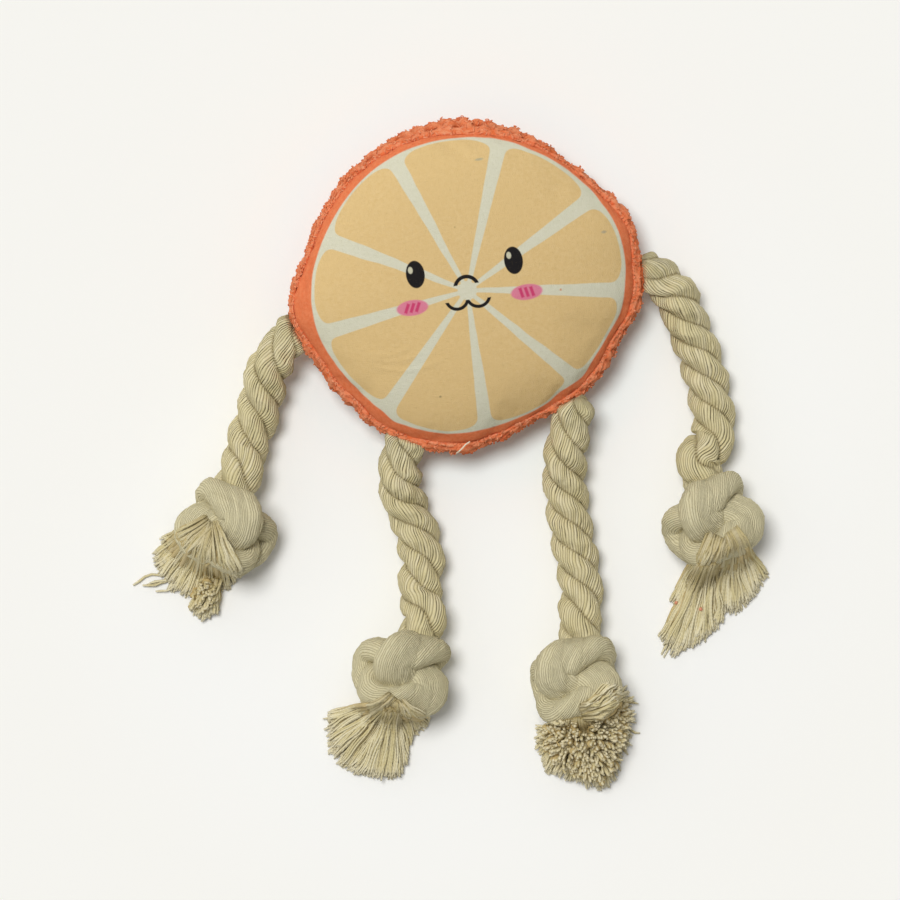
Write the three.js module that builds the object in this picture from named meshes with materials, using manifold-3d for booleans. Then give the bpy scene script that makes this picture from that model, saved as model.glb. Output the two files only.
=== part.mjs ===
// Plush rope toy: a stuffed slice of orange with four rope limbs, each with an overhand knot and a frayed tassel.
// Millimetres, +Z up. The toy lies on its back with its printed front up and the top of the face towards +Y.
// The origin is on the surface it lies on, under the middle of the body.

import * as THREE from 'three';
import { mergeVertices } from 'three/addons/utils/BufferGeometryUtils.js';
import Module from 'manifold-3d';

// Body
const bodyRadius = 77;
const seamHeight = 23;
const frontCrown = 27;
const restFlatDepth = 0.5;
const ovalShare = 0.039;
const squareShare = 0.022;
const fabricThickness = 1.2;

// Dents of the soft edge: where, how deep as a share of the radius, and how far round they reach
const edgeDentShares = [
  { degrees: 38, depthShare: 0.026, spreadDegrees: 10 },
  { degrees: 156, depthShare: 0.025, spreadDegrees: 9 },
  { degrees: 195, depthShare: 0.028, spreadDegrees: 9 },
  { degrees: 281, depthShare: 0.070, spreadDegrees: 14 },
  { degrees: 334, depthShare: 0.041, spreadDegrees: 10 },
];

// Pile edge
const rimWidth = 8;
const rimHeight = 13;

// Squeaker
const squeakerRadius = 20;
const squeakerHeight = 16;
const squeakerEdgeRadius = 5;
const reedRadius = 4;
const reedLength = 7;
const reedFlangeWidth = 2;
const reedFlangeThickness = 1.5;
const reedBore = 2;

// Rope
const ropeDiameter = 21;
const leftArmReach = 93;
const rightArmReach = 118;
const leftLegReach = 103;
const rightLegReach = 125;
const leftArmTasselLength = 27;
const rightArmTasselLength = 36;
const leftLegTasselLength = 32;
const rightLegTasselLength = 31;
const seamPinchLength = 20;
const knotTaperLength = 15;
const seamPinchShare = 0.35;
const noseStandOffShare = 0.55;
const strandEndShare = 0.38;

// Height left of the drop from the seam at the first places of a route, and gained at its last place
const fallShares = [0.5, 0.12];
const climbShare = 0.35;

// Knot: the rope is squeezed to a flat band, and the band follows a trefoil
const knotPitchShare = 0.22;
const knotStepShare = 0.47;
const bandHalfThicknessShare = 0.205;
const bandHalfWidthShare = 0.425;
const leadReachShare = 4.3;
const leadDropShare = 2;
const leadDriftShare = 0.5;

// Tassel: how far the bunch swells, how thin its tips are, and how deep the tufts and flutes are
const bunchBulgeShare = 0.35;
const tipHalfThicknessShare = 0.3;
const tuftDepthShare = 0.2;
const tasselRoundShare = 0.15;
const fluteShare = 0.14;

// Clearances
const pieceGap = 0.3;
const floorGap = 0.4;

// Facets
const panelSides = 48;
const panelRings = 10;
const liningRings = 7;
const stuffingSides = 36;
const rimSides = 80;
const ropeSides = 10;
const ropeSteps = 18;
const noseRings = 3;
const knotSides = 8;
const knotSteps = 46;
const knotLeadSteps = 4;
const tasselSides = 20;
const tasselRings = 7;

// Limbs. Places along a route are shares of the limb's reach from its root to the middle of its knot.
const limbs = [
  {
    name: 'left_arm', rootDegrees: 187.2, reach: leftArmReach,
    routeShares: [[-0.13, -0.14], [-0.205, -0.323], [-0.3, -0.506]],
    knotShares: [-0.455, -0.882], knotDegrees: 240, rollDegrees: 160, handed: -1,
    tasselDegrees: 222, tasselLength: leftArmTasselLength, fanDegrees: 42, tufts: 3, leanShare: -0.15,
  },
  {
    name: 'right_arm', rootDegrees: 355.6, reach: rightArmReach,
    routeShares: [[0.075, -0.085], [0.11, -0.227], [0.138, -0.35], [0.152, -0.5], [0.14, -0.67]],
    knotShares: [0.09, -0.985], knotDegrees: 282, rollDegrees: 203, handed: 1,
    tasselDegrees: 272, tasselLength: rightArmTasselLength, fanDegrees: 42, tufts: 3, leanShare: -0.25,
  },
  {
    name: 'left_leg', rootDegrees: 239.8, reach: leftLegReach,
    routeShares: [[-0.036, -0.11], [-0.038, -0.235], [-0.008, -0.36], [0.005, -0.51], [-0.03, -0.66]],
    knotShares: [-0.152, -0.998], knotDegrees: 246, rollDegrees: 205, handed: 1,
    tasselDegrees: 246, tasselLength: leftLegTasselLength, fanDegrees: 46, tufts: 4, leanShare: -0.1,
  },
  {
    name: 'right_leg', rootDegrees: 300, reach: rightLegReach,
    routeShares: [[-0.034, -0.095], [-0.058, -0.2], [-0.064, -0.305], [-0.064, -0.42], [-0.06, -0.55], [-0.066, -0.66]],
    knotShares: [-0.13, -0.95], knotDegrees: 268, rollDegrees: 183, handed: 1,
    tasselDegrees: 284, tasselLength: rightLegTasselLength, fanDegrees: 42, tufts: 3, leanShare: 0,
  },
];

const wasm = await Module();
wasm.setup();

const radians = THREE.MathUtils.degToRad;
const up = new THREE.Vector3(0, 0, 1);

// Radius of the body's outer edge at an angle round it
function edgeRadius(angle) {
  const puffed = 1 + ovalShare * Math.cos(2 * angle) + squareShare * Math.cos(4 * angle);
  let dents = 0;
  for (const dent of edgeDentShares) {
    const turn = Math.atan2(Math.sin(angle - radians(dent.degrees)), Math.cos(angle - radians(dent.degrees)));
    dents += dent.depthShare * Math.exp(-((turn / radians(dent.spreadDegrees)) ** 2));
  }
  return bodyRadius * (puffed - dents);
}

// Radius of the panels' edge, just inside the pile edge
function panelRadius(angle) {
  return edgeRadius(angle) - rimWidth - pieceGap;
}

// Share of the crown left at a share of the way from the middle of the front to its edge
function frontRise(share) {
  return (1 - share ** 2.4) ** 0.58;
}

// The same for the back, which is flatter where it rests
function backDrop(share) {
  return (1 - share ** 3.2) ** 0.55;
}

// Closed solid through rings of as many points each, with a point closing each end
function loft(rings, firstPoint, lastPoint) {
  const sides = rings[0].length;
  const points = [firstPoint, ...rings.flat(), lastPoint];
  const last = points.length - 1;
  const index = [];
  for (let side = 0; side < sides; side += 1) {
    const next = (side + 1) % sides;
    index.push(0, 1 + next, 1 + side);
    for (let ring = 0; ring < rings.length - 1; ring += 1) {
      const here = 1 + ring * sides;
      const beyond = here + sides;
      index.push(here + side, here + next, beyond + next);
      index.push(here + side, beyond + next, beyond + side);
    }
    const end = 1 + (rings.length - 1) * sides;
    index.push(last, end + side, end + next);
  }
  return facingOut(points, index);
}

// Closed ring through sections that follow each other all the way round
function ringLoft(sections) {
  const corners = sections[0].length;
  const index = [];
  for (let section = 0; section < sections.length; section += 1) {
    const here = section * corners;
    const beyond = ((section + 1) % sections.length) * corners;
    for (let corner = 0; corner < corners; corner += 1) {
      const next = (corner + 1) % corners;
      index.push(here + corner, beyond + corner, beyond + next);
      index.push(here + corner, beyond + next, here + next);
    }
  }
  return facingOut(sections.flat(), index);
}

// Geometry with its faces turned outwards
function facingOut(points, index) {
  let volume = 0;
  for (let corner = 0; corner < index.length; corner += 3) {
    const [a, b, c] = [points[index[corner]], points[index[corner + 1]], points[index[corner + 2]]];
    volume += a.dot(new THREE.Vector3().crossVectors(b, c));
  }
  if (volume < 0) index.reverse();
  const geometry = new THREE.BufferGeometry().setFromPoints(points);
  geometry.setIndex(index);
  return geometry;
}

function toSolid(geometry) {
  const bare = geometry.clone();
  bare.deleteAttribute('normal');
  bare.deleteAttribute('uv');
  const merged = mergeVertices(bare);
  return new wasm.Manifold(new wasm.Mesh({
    numProp: 3,
    vertProperties: new Float32Array(merged.attributes.position.array),
    triVerts: new Uint32Array(merged.index.array),
  }));
}

function toGeometry(solid) {
  const mesh = solid.getMesh();
  const geometry = new THREE.BufferGeometry();
  geometry.setAttribute('position', new THREE.BufferAttribute(new Float32Array(mesh.vertProperties), 3));
  geometry.setIndex(new THREE.BufferAttribute(new Uint32Array(mesh.triVerts), 1));
  return geometry;
}

function cut(geometry, cutters) {
  let solid = toSolid(geometry);
  for (const cutter of cutters) solid = solid.subtract(toSolid(cutter));
  return toGeometry(solid);
}

// One ring of a domed panel
function bodyRing(sides, share, radiusAt, height) {
  const ring = [];
  for (let side = 0; side < sides; side += 1) {
    const angle = (2 * Math.PI * side) / sides;
    const radius = radiusAt(angle) * share;
    ring.push(new THREE.Vector3(radius * Math.cos(angle), radius * Math.sin(angle), height));
  }
  return ring;
}

// Rings of a dome from the middle to the edge, closer together where it turns down
function domeRings(sides, count, radiusAt, heightAt) {
  const rings = [];
  for (let step = 1; step <= count; step += 1) {
    const share = Math.sin((Math.PI / 2) * (step / count));
    rings.push(bodyRing(sides, share, radiusAt, heightAt(share)));
  }
  return rings;
}

// Front and back skins meet half a gap above and below the seam
const frontBase = seamHeight + pieceGap / 2;
const backBase = seamHeight - pieceGap / 2;
const backDepth = backBase + restFlatDepth;

function frontHeight(inset) {
  return (share) => frontBase + (frontCrown - inset) * frontRise(share);
}

function backHeight(inset) {
  return (share) => Math.max(inset, backBase - (backDepth - inset) * backDrop(share));
}

function panel(heightAt, liningHeightAt) {
  const liningRadius = (angle) => panelRadius(angle) - fabricThickness;
  const outer = domeRings(panelSides, panelRings, panelRadius, heightAt);
  const lining = domeRings(panelSides, liningRings, liningRadius, liningHeightAt).reverse();
  const middle = new THREE.Vector3(0, 0, heightAt(0));
  const liningMiddle = new THREE.Vector3(0, 0, liningHeightAt(0));
  return loft([...outer, ...lining], middle, liningMiddle);
}

function frontPanel() {
  return panel(frontHeight(0), frontHeight(fabricThickness));
}

function backPanel() {
  return panel(backHeight(0), backHeight(fabricThickness));
}

// The pile edge: an upper and a lower ridge with the stitched slit between them
function rimTrim() {
  const sectionShares = [
    [0, -0.5], [0, 0.5], [0.3, 0.52], [0.62, 0.46], [0.88, 0.3],
    [0.98, 0.14], [0.78, 0], [1, -0.14], [0.92, -0.3], [0.66, -0.46], [0.3, -0.52],
  ];
  const sections = [];
  for (let side = 0; side < rimSides; side += 1) {
    const angle = (2 * Math.PI * side) / rimSides;
    const outward = new THREE.Vector3(Math.cos(angle), Math.sin(angle), 0);
    const innerRadius = edgeRadius(angle) - rimWidth;
    sections.push(sectionShares.map(([widthShare, heightShare]) => {
      const place = outward.clone().multiplyScalar(innerRadius + widthShare * rimWidth);
      place.z = seamHeight + heightShare * rimHeight;
      return place;
    }));
  }
  return ringLoft(sections);
}

// Stuffing fills its half of the body and leaves a pocket for the squeaker
function stuffing(heightAt, base) {
  const radiusAt = (angle) => (panelRadius(angle) - fabricThickness - pieceGap) * Math.cos(Math.PI / stuffingSides);
  const rings = domeRings(stuffingSides, liningRings, radiusAt, heightAt);
  const middle = new THREE.Vector3(0, 0, heightAt(0));
  const foot = new THREE.Vector3(0, 0, base);
  return cut(loft(rings, middle, foot), [squeakerBody(pieceGap), reedBody(pieceGap)]);
}

function frontStuffing() {
  return stuffing(frontHeight(fabricThickness + pieceGap), frontBase);
}

function backStuffing() {
  return stuffing(backHeight(fabricThickness + pieceGap), backBase);
}

// The squeaker's outside, or with a clearance the pocket it lies in
function squeakerBody(clearance) {
  const half = squeakerHeight / 2;
  const profile = [new THREE.Vector2(0, -half - clearance)];
  for (let step = 0; step <= 4; step += 1) {
    const angle = (Math.PI / 2) * (step / 4);
    profile.push(new THREE.Vector2(
      squeakerRadius - squeakerEdgeRadius + (squeakerEdgeRadius + clearance) * Math.sin(angle),
      -half + squeakerEdgeRadius - (squeakerEdgeRadius + clearance) * Math.cos(angle),
    ));
  }
  const mirrored = profile.map((point) => new THREE.Vector2(point.x, -point.y)).reverse();
  return standing(new THREE.LatheGeometry([...profile, ...mirrored], 32), seamHeight);
}

// The reed's flange and stem, entered from below
function reedBody(clearance) {
  const flangeTop = -squeakerHeight / 2 - pieceGap;
  const flangeFoot = flangeTop - reedFlangeThickness;
  const profile = [
    new THREE.Vector2(0, flangeFoot - clearance),
    new THREE.Vector2(reedRadius + reedFlangeWidth + clearance, flangeFoot - clearance),
    new THREE.Vector2(reedRadius + reedFlangeWidth + clearance, flangeTop),
    new THREE.Vector2(reedRadius + clearance, flangeTop),
    new THREE.Vector2(reedRadius + clearance, flangeTop + reedLength + clearance),
    new THREE.Vector2(0, flangeTop + reedLength + clearance),
  ];
  return standing(new THREE.LatheGeometry(profile, 20), seamHeight);
}

// A lathed shape turned from three.js's upright Y to +Z, with its middle at a height
function standing(geometry, height) {
  return geometry.rotateX(Math.PI / 2).translate(0, 0, height);
}

function squeakerBulb() {
  return cut(squeakerBody(0), [reedBody(pieceGap)]);
}

function squeakerReed() {
  const boreFoot = -squeakerHeight / 2 - pieceGap - reedFlangeThickness - pieceGap;
  const bore = standing(new THREE.CylinderGeometry(reedBore / 2, reedBore / 2, reedLength, 10), 0);
  bore.translate(0, 0, seamHeight + boreFoot + reedLength / 2);
  return cut(reedBody(0), [bore]);
}

// The point a limb turns about: in the slit of the seam, partly outside the edge
const ropeRadius = ropeDiameter / 2;
const noseRadius = seamPinchShare * ropeDiameter;
const pivotStandOff = noseStandOffShare * noseRadius;

function rootPoint(limb) {
  const angle = radians(limb.rootDegrees);
  const radius = edgeRadius(angle) + pivotStandOff;
  return new THREE.Vector3(radius * Math.cos(angle), radius * Math.sin(angle), seamHeight);
}

function flatDirection(degrees) {
  return new THREE.Vector3(Math.cos(radians(degrees)), Math.sin(radians(degrees)), 0);
}

// Ring of an elliptical section square to a direction
function sectionRing(centre, direction, across, halfAcross, halfBeside, sides) {
  const first = across.clone().addScaledVector(direction, -across.dot(direction)).normalize();
  const second = new THREE.Vector3().crossVectors(direction, first);
  const ring = [];
  for (let side = 0; side < sides; side += 1) {
    const angle = (2 * Math.PI * (side + 0.5)) / sides;
    ring.push(centre.clone()
      .addScaledVector(first, halfAcross * Math.cos(angle))
      .addScaledVector(second, halfBeside * Math.sin(angle)));
  }
  return ring;
}

// Middle line of the overhand knot, in the knot's own axes: along the rope, out to the crossing, and across
function knotPoint(turn, handed) {
  const pitch = knotPitchShare * ropeDiameter;
  const step = knotStepShare * ropeDiameter;
  const inside = Math.min(Math.max(turn, 0), 2 * Math.PI);
  const lead = turn - inside;
  const along = -Math.sin(inside) + 2 * Math.sin(2 * inside) + 3 * lead;
  const settled = (1 - Math.cos((Math.PI * 3 * lead) / leadReachShare)) / 2;
  const out = 2 * Math.cos(2 * inside) + Math.cos(inside) - leadDropShare * settled;
  let rise = Math.sin(3 * inside);
  if (inside < Math.PI / 6) rise = 1 - leadDriftShare * settled;
  if (inside > (11 * Math.PI) / 6) rise = leadDriftShare * settled - 1;
  return new THREE.Vector3(pitch * along, pitch * out, handed * step * rise);
}

// Turns of the knot's line from where the rope enters it to where it leaves it
const leadTurn = leadReachShare / 3;

// The knot's axes and middle: along the rope, out to the crossing of its leads, and across
function knotFrame(limb) {
  const along = flatDirection(limb.knotDegrees);
  const beside = new THREE.Vector3().crossVectors(up, along);
  const roll = radians(limb.rollDegrees);
  const out = up.clone().multiplyScalar(Math.cos(roll)).addScaledVector(beside, Math.sin(roll));
  const across = new THREE.Vector3().crossVectors(along, out);
  const root = rootPoint(limb);
  const middle = new THREE.Vector3(
    root.x + limb.knotShares[0] * limb.reach,
    root.y + limb.knotShares[1] * limb.reach,
    0,
  );
  const frame = new THREE.Matrix4().makeBasis(along, out, across).setPosition(middle);
  const lowest = Math.min(...knotRings(frame, across, limb.handed).flat().map((point) => point.z));
  frame.setPosition(middle.setZ(floorGap - lowest));
  return { frame, across };
}

function knotRings(frame, across, handed) {
  const rings = [];
  const from = -leadTurn;
  const to = 2 * Math.PI + leadTurn;
  const count = knotSteps + 2 * knotLeadSteps;
  for (let step = 0; step <= count; step += 1) {
    const turn = from + ((to - from) * step) / count;
    const centre = knotPoint(turn, handed).applyMatrix4(frame);
    const direction = knotDirection(turn, frame, handed);
    const flat = THREE.MathUtils.smoothstep(Math.min(step, count - step), 0, knotLeadSteps + 1);
    const halfWidth = THREE.MathUtils.lerp(strandEndShare, bandHalfWidthShare, flat) * ropeDiameter;
    const halfThickness = THREE.MathUtils.lerp(strandEndShare, bandHalfThicknessShare, flat) * ropeDiameter;
    rings.push(sectionRing(centre, direction, across, halfWidth, halfThickness, knotSides));
  }
  return rings;
}

function knotDirection(turn, frame, handed) {
  const stride = 0.01;
  const ahead = knotPoint(turn + stride, handed).sub(knotPoint(turn - stride, handed));
  return ahead.transformDirection(frame);
}

// The knot's solid, with a cup at its mouth for the tassel's root
function knot(limb) {
  const { frame, across } = knotFrame(limb);
  const rings = knotRings(frame, across, limb.handed);
  printLeastGap(`${limb.name}_knot`, rings);
  const body = loft(rings, ringMiddle(rings[0]), ringMiddle(rings[rings.length - 1]));
  const mouth = tasselRoot(limb);
  const cup = new THREE.SphereGeometry(mouth.radius + pieceGap, 16, 10);
  cup.translate(mouth.pivot.x, mouth.pivot.y, mouth.pivot.z);
  return cut(body, [cup]);
}

function ringMiddle(ring) {
  return ring.reduce((sum, point) => sum.add(point), new THREE.Vector3()).divideScalar(ring.length);
}

// Least distance between points of rings that aren't neighbours along the tube
function printLeastGap(name, rings) {
  const apart = 2.6 * bandHalfWidthShare * ropeDiameter;
  const middles = rings.map(ringMiddle);
  const along = [0];
  for (let ring = 1; ring < rings.length; ring += 1) {
    along.push(along[ring - 1] + middles[ring].distanceTo(middles[ring - 1]));
  }
  let least = Infinity;
  for (let a = 0; a < rings.length; a += 1) {
    for (let b = a + 1; b < rings.length; b += 1) {
      if (along[b] - along[a] < apart) continue;
      for (const point of rings[a]) {
        for (const other of rings[b]) least = Math.min(least, point.distanceTo(other));
      }
    }
  }
  console.log(`${name}: least gap to itself ${least.toFixed(2)} mm`);
}

// Middle line of the plain stretch of a limb, from the seam to the knot
function ropeCurve(limb) {
  const root = rootPoint(limb);
  const { frame } = knotFrame(limb);
  const entry = knotPoint(-leadTurn, limb.handed).applyMatrix4(frame);
  const entryDirection = knotDirection(-leadTurn, frame, limb.handed);
  const lying = ropeRadius + floorGap;
  const points = [root];
  limb.routeShares.forEach(([x, y], place) => {
    const fallen = fallShares[place] ?? 0;
    const climb = place === limb.routeShares.length - 1 ? climbShare : 0;
    const height = lying + fallen * (seamHeight - lying) + climb * (entry.z - lying);
    points.push(new THREE.Vector3(root.x + x * limb.reach, root.y + y * limb.reach, height));
  });
  points.push(entry.clone().addScaledVector(entryDirection, -knotTaperLength / 2));
  points.push(entry.clone().addScaledVector(entryDirection, -pieceGap));
  return new THREE.CatmullRomCurve3(points, false, 'centripetal');
}

// Rope: a rounded nose in the seam, a pinched root, the full rope, and a taper into the knot
function rope(limb) {
  const curve = ropeCurve(limb);
  const length = curve.getLength();
  const rings = [];
  const start = curve.getPointAt(0);
  const direction = curve.getTangentAt(0);
  for (let step = 1; step <= noseRings; step += 1) {
    const angle = (Math.PI / 2) * (step / (noseRings + 1));
    const centre = start.clone().addScaledVector(direction, -noseRadius * Math.cos(angle));
    const radius = noseRadius * Math.sin(angle);
    rings.push(sectionRing(centre, direction, up, radius, radius, ropeSides));
  }
  const tip = start.clone().addScaledVector(direction, -noseRadius);
  for (let step = 0; step <= ropeSteps; step += 1) {
    const share = step / ropeSteps;
    const away = share * length;
    const swell = THREE.MathUtils.smoothstep(away, 0, seamPinchLength);
    const taper = THREE.MathUtils.smoothstep(length - away, 0, knotTaperLength);
    const rootRadius = THREE.MathUtils.lerp(noseRadius, ropeRadius, swell);
    const radius = THREE.MathUtils.lerp(strandEndShare * ropeDiameter, rootRadius, taper);
    rings.push(sectionRing(curve.getPointAt(share), curve.getTangentAt(share), up, radius, radius, ropeSides));
  }
  return loft(rings, tip, ringMiddle(rings[rings.length - 1]));
}

// Round socket in the seam in which the nose of a limb's rope turns
function ropeSocket(limb) {
  const root = rootPoint(limb);
  return new THREE.SphereGeometry(noseRadius + pieceGap, 16, 12).translate(root.x, root.y, root.z);
}

// Where a tassel turns, in the mouth of its knot, and the radius of its rounded root
function tasselRoot(limb) {
  const { frame } = knotFrame(limb);
  const turn = 2 * Math.PI + leadTurn;
  const radius = strandEndShare * ropeDiameter - pieceGap;
  const mouth = knotPoint(turn, limb.handed).applyMatrix4(frame);
  const pivot = mouth.addScaledVector(knotDirection(turn, frame, limb.handed), radius / 2);
  return { pivot, radius };
}

// Tassel: a rounded root, then the yarns fan out over the surface in tufts and thin out to their tips
function tassel(limb) {
  const { pivot, radius } = tasselRoot(limb);
  const direction = flatDirection(limb.tasselDegrees);
  const beside = new THREE.Vector3().crossVectors(up, direction);
  const rings = [];
  for (let step = 1; step <= noseRings; step += 1) {
    const angle = (Math.PI / 2) * (step / (noseRings + 1));
    const centre = pivot.clone().addScaledVector(direction, -radius * Math.cos(angle));
    rings.push(sectionRing(centre, direction, beside, radius * Math.sin(angle), radius * Math.sin(angle), tasselSides));
  }
  for (let step = 0; step <= tasselRings; step += 1) {
    rings.push(tasselRing(limb, pivot, radius, direction, beside, step / tasselRings));
  }
  const tip = pivot.clone().addScaledVector(direction, -radius);
  const end = ringMiddle(rings[rings.length - 1]);
  return loft(rings, tip, end);
}

function tasselRing(limb, pivot, radius, direction, beside, share) {
  const bulge = bunchBulgeShare * ropeRadius * Math.sin(Math.PI * share);
  const halfHeight = THREE.MathUtils.lerp(radius, tipHalfThicknessShare * ropeRadius, share) + bulge;
  const settle = THREE.MathUtils.smoothstep(share, 0, 0.6);
  const middleHeight = THREE.MathUtils.lerp(pivot.z, floorGap + halfHeight, settle);
  const ring = [];
  for (let side = 0; side < tasselSides; side += 1) {
    const angle = (2 * Math.PI * (side + 0.5)) / tasselSides;
    const lateral = Math.cos(angle);
    const spread = lateral * radians(limb.fanDegrees) * THREE.MathUtils.smoothstep(share, 0, 0.35);
    const tuftWave = Math.cos(limb.tufts * Math.PI * lateral);
    const tuft = 1 - tuftDepthShare * share * (1 - tuftWave) / 2;
    const flute = 1 + fluteShare * share * tuftWave;
    const outward = direction.clone().multiplyScalar(Math.cos(spread)).addScaledVector(beside, Math.sin(spread));
    const rounded = 1 - tasselRoundShare * lateral ** 2;
    const length = limb.tasselLength * (1 + limb.leanShare * lateral) * rounded * tuft;
    const point = pivot.clone()
      .addScaledVector(outward, length * share)
      .addScaledVector(beside, (radius + bulge) * lateral);
    point.z = Math.max(floorGap, middleHeight + halfHeight * flute * Math.sin(angle));
    ring.push(point);
  }
  return ring;
}

const cotton = { color: 0xcfc59b, roughness: 0.95, metalness: 0 };
const orangePile = { color: 0xe4764b, roughness: 0.97, metalness: 0 };
const printedCloth = { color: 0xdfc084, roughness: 0.9, metalness: 0 };
const fibre = { color: 0xf1efe8, roughness: 1, metalness: 0 };
const squeakerPlastic = { color: 0xe6e1cf, roughness: 0.45, metalness: 0 };

const toy = new THREE.Group();

function add(name, geometry, material) {
  const mesh = new THREE.Mesh(geometry, new THREE.MeshStandardMaterial(material));
  mesh.name = name;
  toy.add(mesh);
}

const ropeSockets = limbs.map(ropeSocket);

add('front_panel', frontPanel(), printedCloth);
add('back_panel', backPanel(), orangePile);
add('rim_trim', cut(rimTrim(), ropeSockets), orangePile);
add('front_stuffing', frontStuffing(), fibre);
add('back_stuffing', backStuffing(), fibre);
add('squeaker_bulb', squeakerBulb(), squeakerPlastic);
add('squeaker_reed', squeakerReed(), squeakerPlastic);
for (const limb of limbs) {
  add(`${limb.name}_rope`, rope(limb), cotton);
  add(`${limb.name}_knot`, knot(limb), cotton);
  add(`${limb.name}_tassel`, tassel(limb), cotton);
}

export default toy;
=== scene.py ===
# Looks of the plush rope toy: a stuffed slice of orange with four knotted rope limbs, lying face up.
# Shapes are worked out in millimetres and written as metres, in the frame of the solids.

import math
import random

import bpy
import numpy as np
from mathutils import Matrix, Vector, noise
from mathutils.bvhtree import BVHTree


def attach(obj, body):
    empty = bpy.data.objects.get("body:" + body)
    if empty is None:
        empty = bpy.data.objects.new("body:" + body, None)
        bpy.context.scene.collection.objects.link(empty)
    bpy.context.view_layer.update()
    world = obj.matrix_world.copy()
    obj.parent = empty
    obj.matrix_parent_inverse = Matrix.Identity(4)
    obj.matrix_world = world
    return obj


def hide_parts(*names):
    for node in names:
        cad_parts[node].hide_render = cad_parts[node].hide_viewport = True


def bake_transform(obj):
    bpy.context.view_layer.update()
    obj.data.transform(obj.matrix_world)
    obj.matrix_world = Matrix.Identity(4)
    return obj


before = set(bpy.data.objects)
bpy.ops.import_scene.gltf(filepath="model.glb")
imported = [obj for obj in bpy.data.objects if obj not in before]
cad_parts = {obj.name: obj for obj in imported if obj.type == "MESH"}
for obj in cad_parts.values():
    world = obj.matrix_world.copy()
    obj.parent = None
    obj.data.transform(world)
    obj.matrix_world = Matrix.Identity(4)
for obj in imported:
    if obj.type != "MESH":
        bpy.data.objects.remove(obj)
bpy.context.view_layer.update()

for carried in list(bpy.context.selected_objects):
    carried.select_set(False)

MM = 0.001
LIMBS = ("left_arm", "right_arm", "left_leg", "right_leg")


# Shader arithmetic
def maths_of(operation):
    """A wire's method that runs one kind of maths on it and on what it is given."""
    return lambda wire, *others: wire.maths(operation, wire, *others)


def maths_back(operation):
    """The same with the number on the left of the wire."""
    return lambda wire, number: wire.maths(operation, number, wire)


class Wire:
    """An output in a finish's node tree, for use in plain arithmetic."""

    def __init__(self, finish, socket):
        self.finish = finish
        self.socket = socket

    def maths(self, operation, *feeds):
        return self.finish.node("ShaderNodeMath", {"operation": operation}, dict(enumerate(feeds)))

    __add__ = __radd__ = maths_of("ADD")
    __sub__ = maths_of("SUBTRACT")
    __rsub__ = maths_back("SUBTRACT")
    __mul__ = __rmul__ = maths_of("MULTIPLY")
    __truediv__ = maths_of("DIVIDE")
    __rtruediv__ = maths_back("DIVIDE")
    __pow__ = maths_of("POWER")
    __rpow__ = maths_back("POWER")
    __abs__ = maths_of("ABSOLUTE")
    least = maths_of("MINIMUM")
    most = maths_of("MAXIMUM")
    soft_most = maths_of("SMOOTH_MAX")
    sine = maths_of("SINE")
    cosine = maths_of("COSINE")
    bearing = maths_of("ARCTAN2")
    exponential = maths_of("EXPONENT")
    root = maths_of("SQRT")
    whole = maths_of("FLOOR")
    part = maths_of("FRACT")

    def __neg__(self):
        return self * -1.0

    def ramp(self, low, high):
        """0 below low and 1 above high, with a smooth step between."""
        values = {0: self, 1: low, 2: high, 3: 0.0, 4: 1.0}
        return self.finish.node("ShaderNodeMapRange", {"interpolation_type": "SMOOTHSTEP"}, values)


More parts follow.
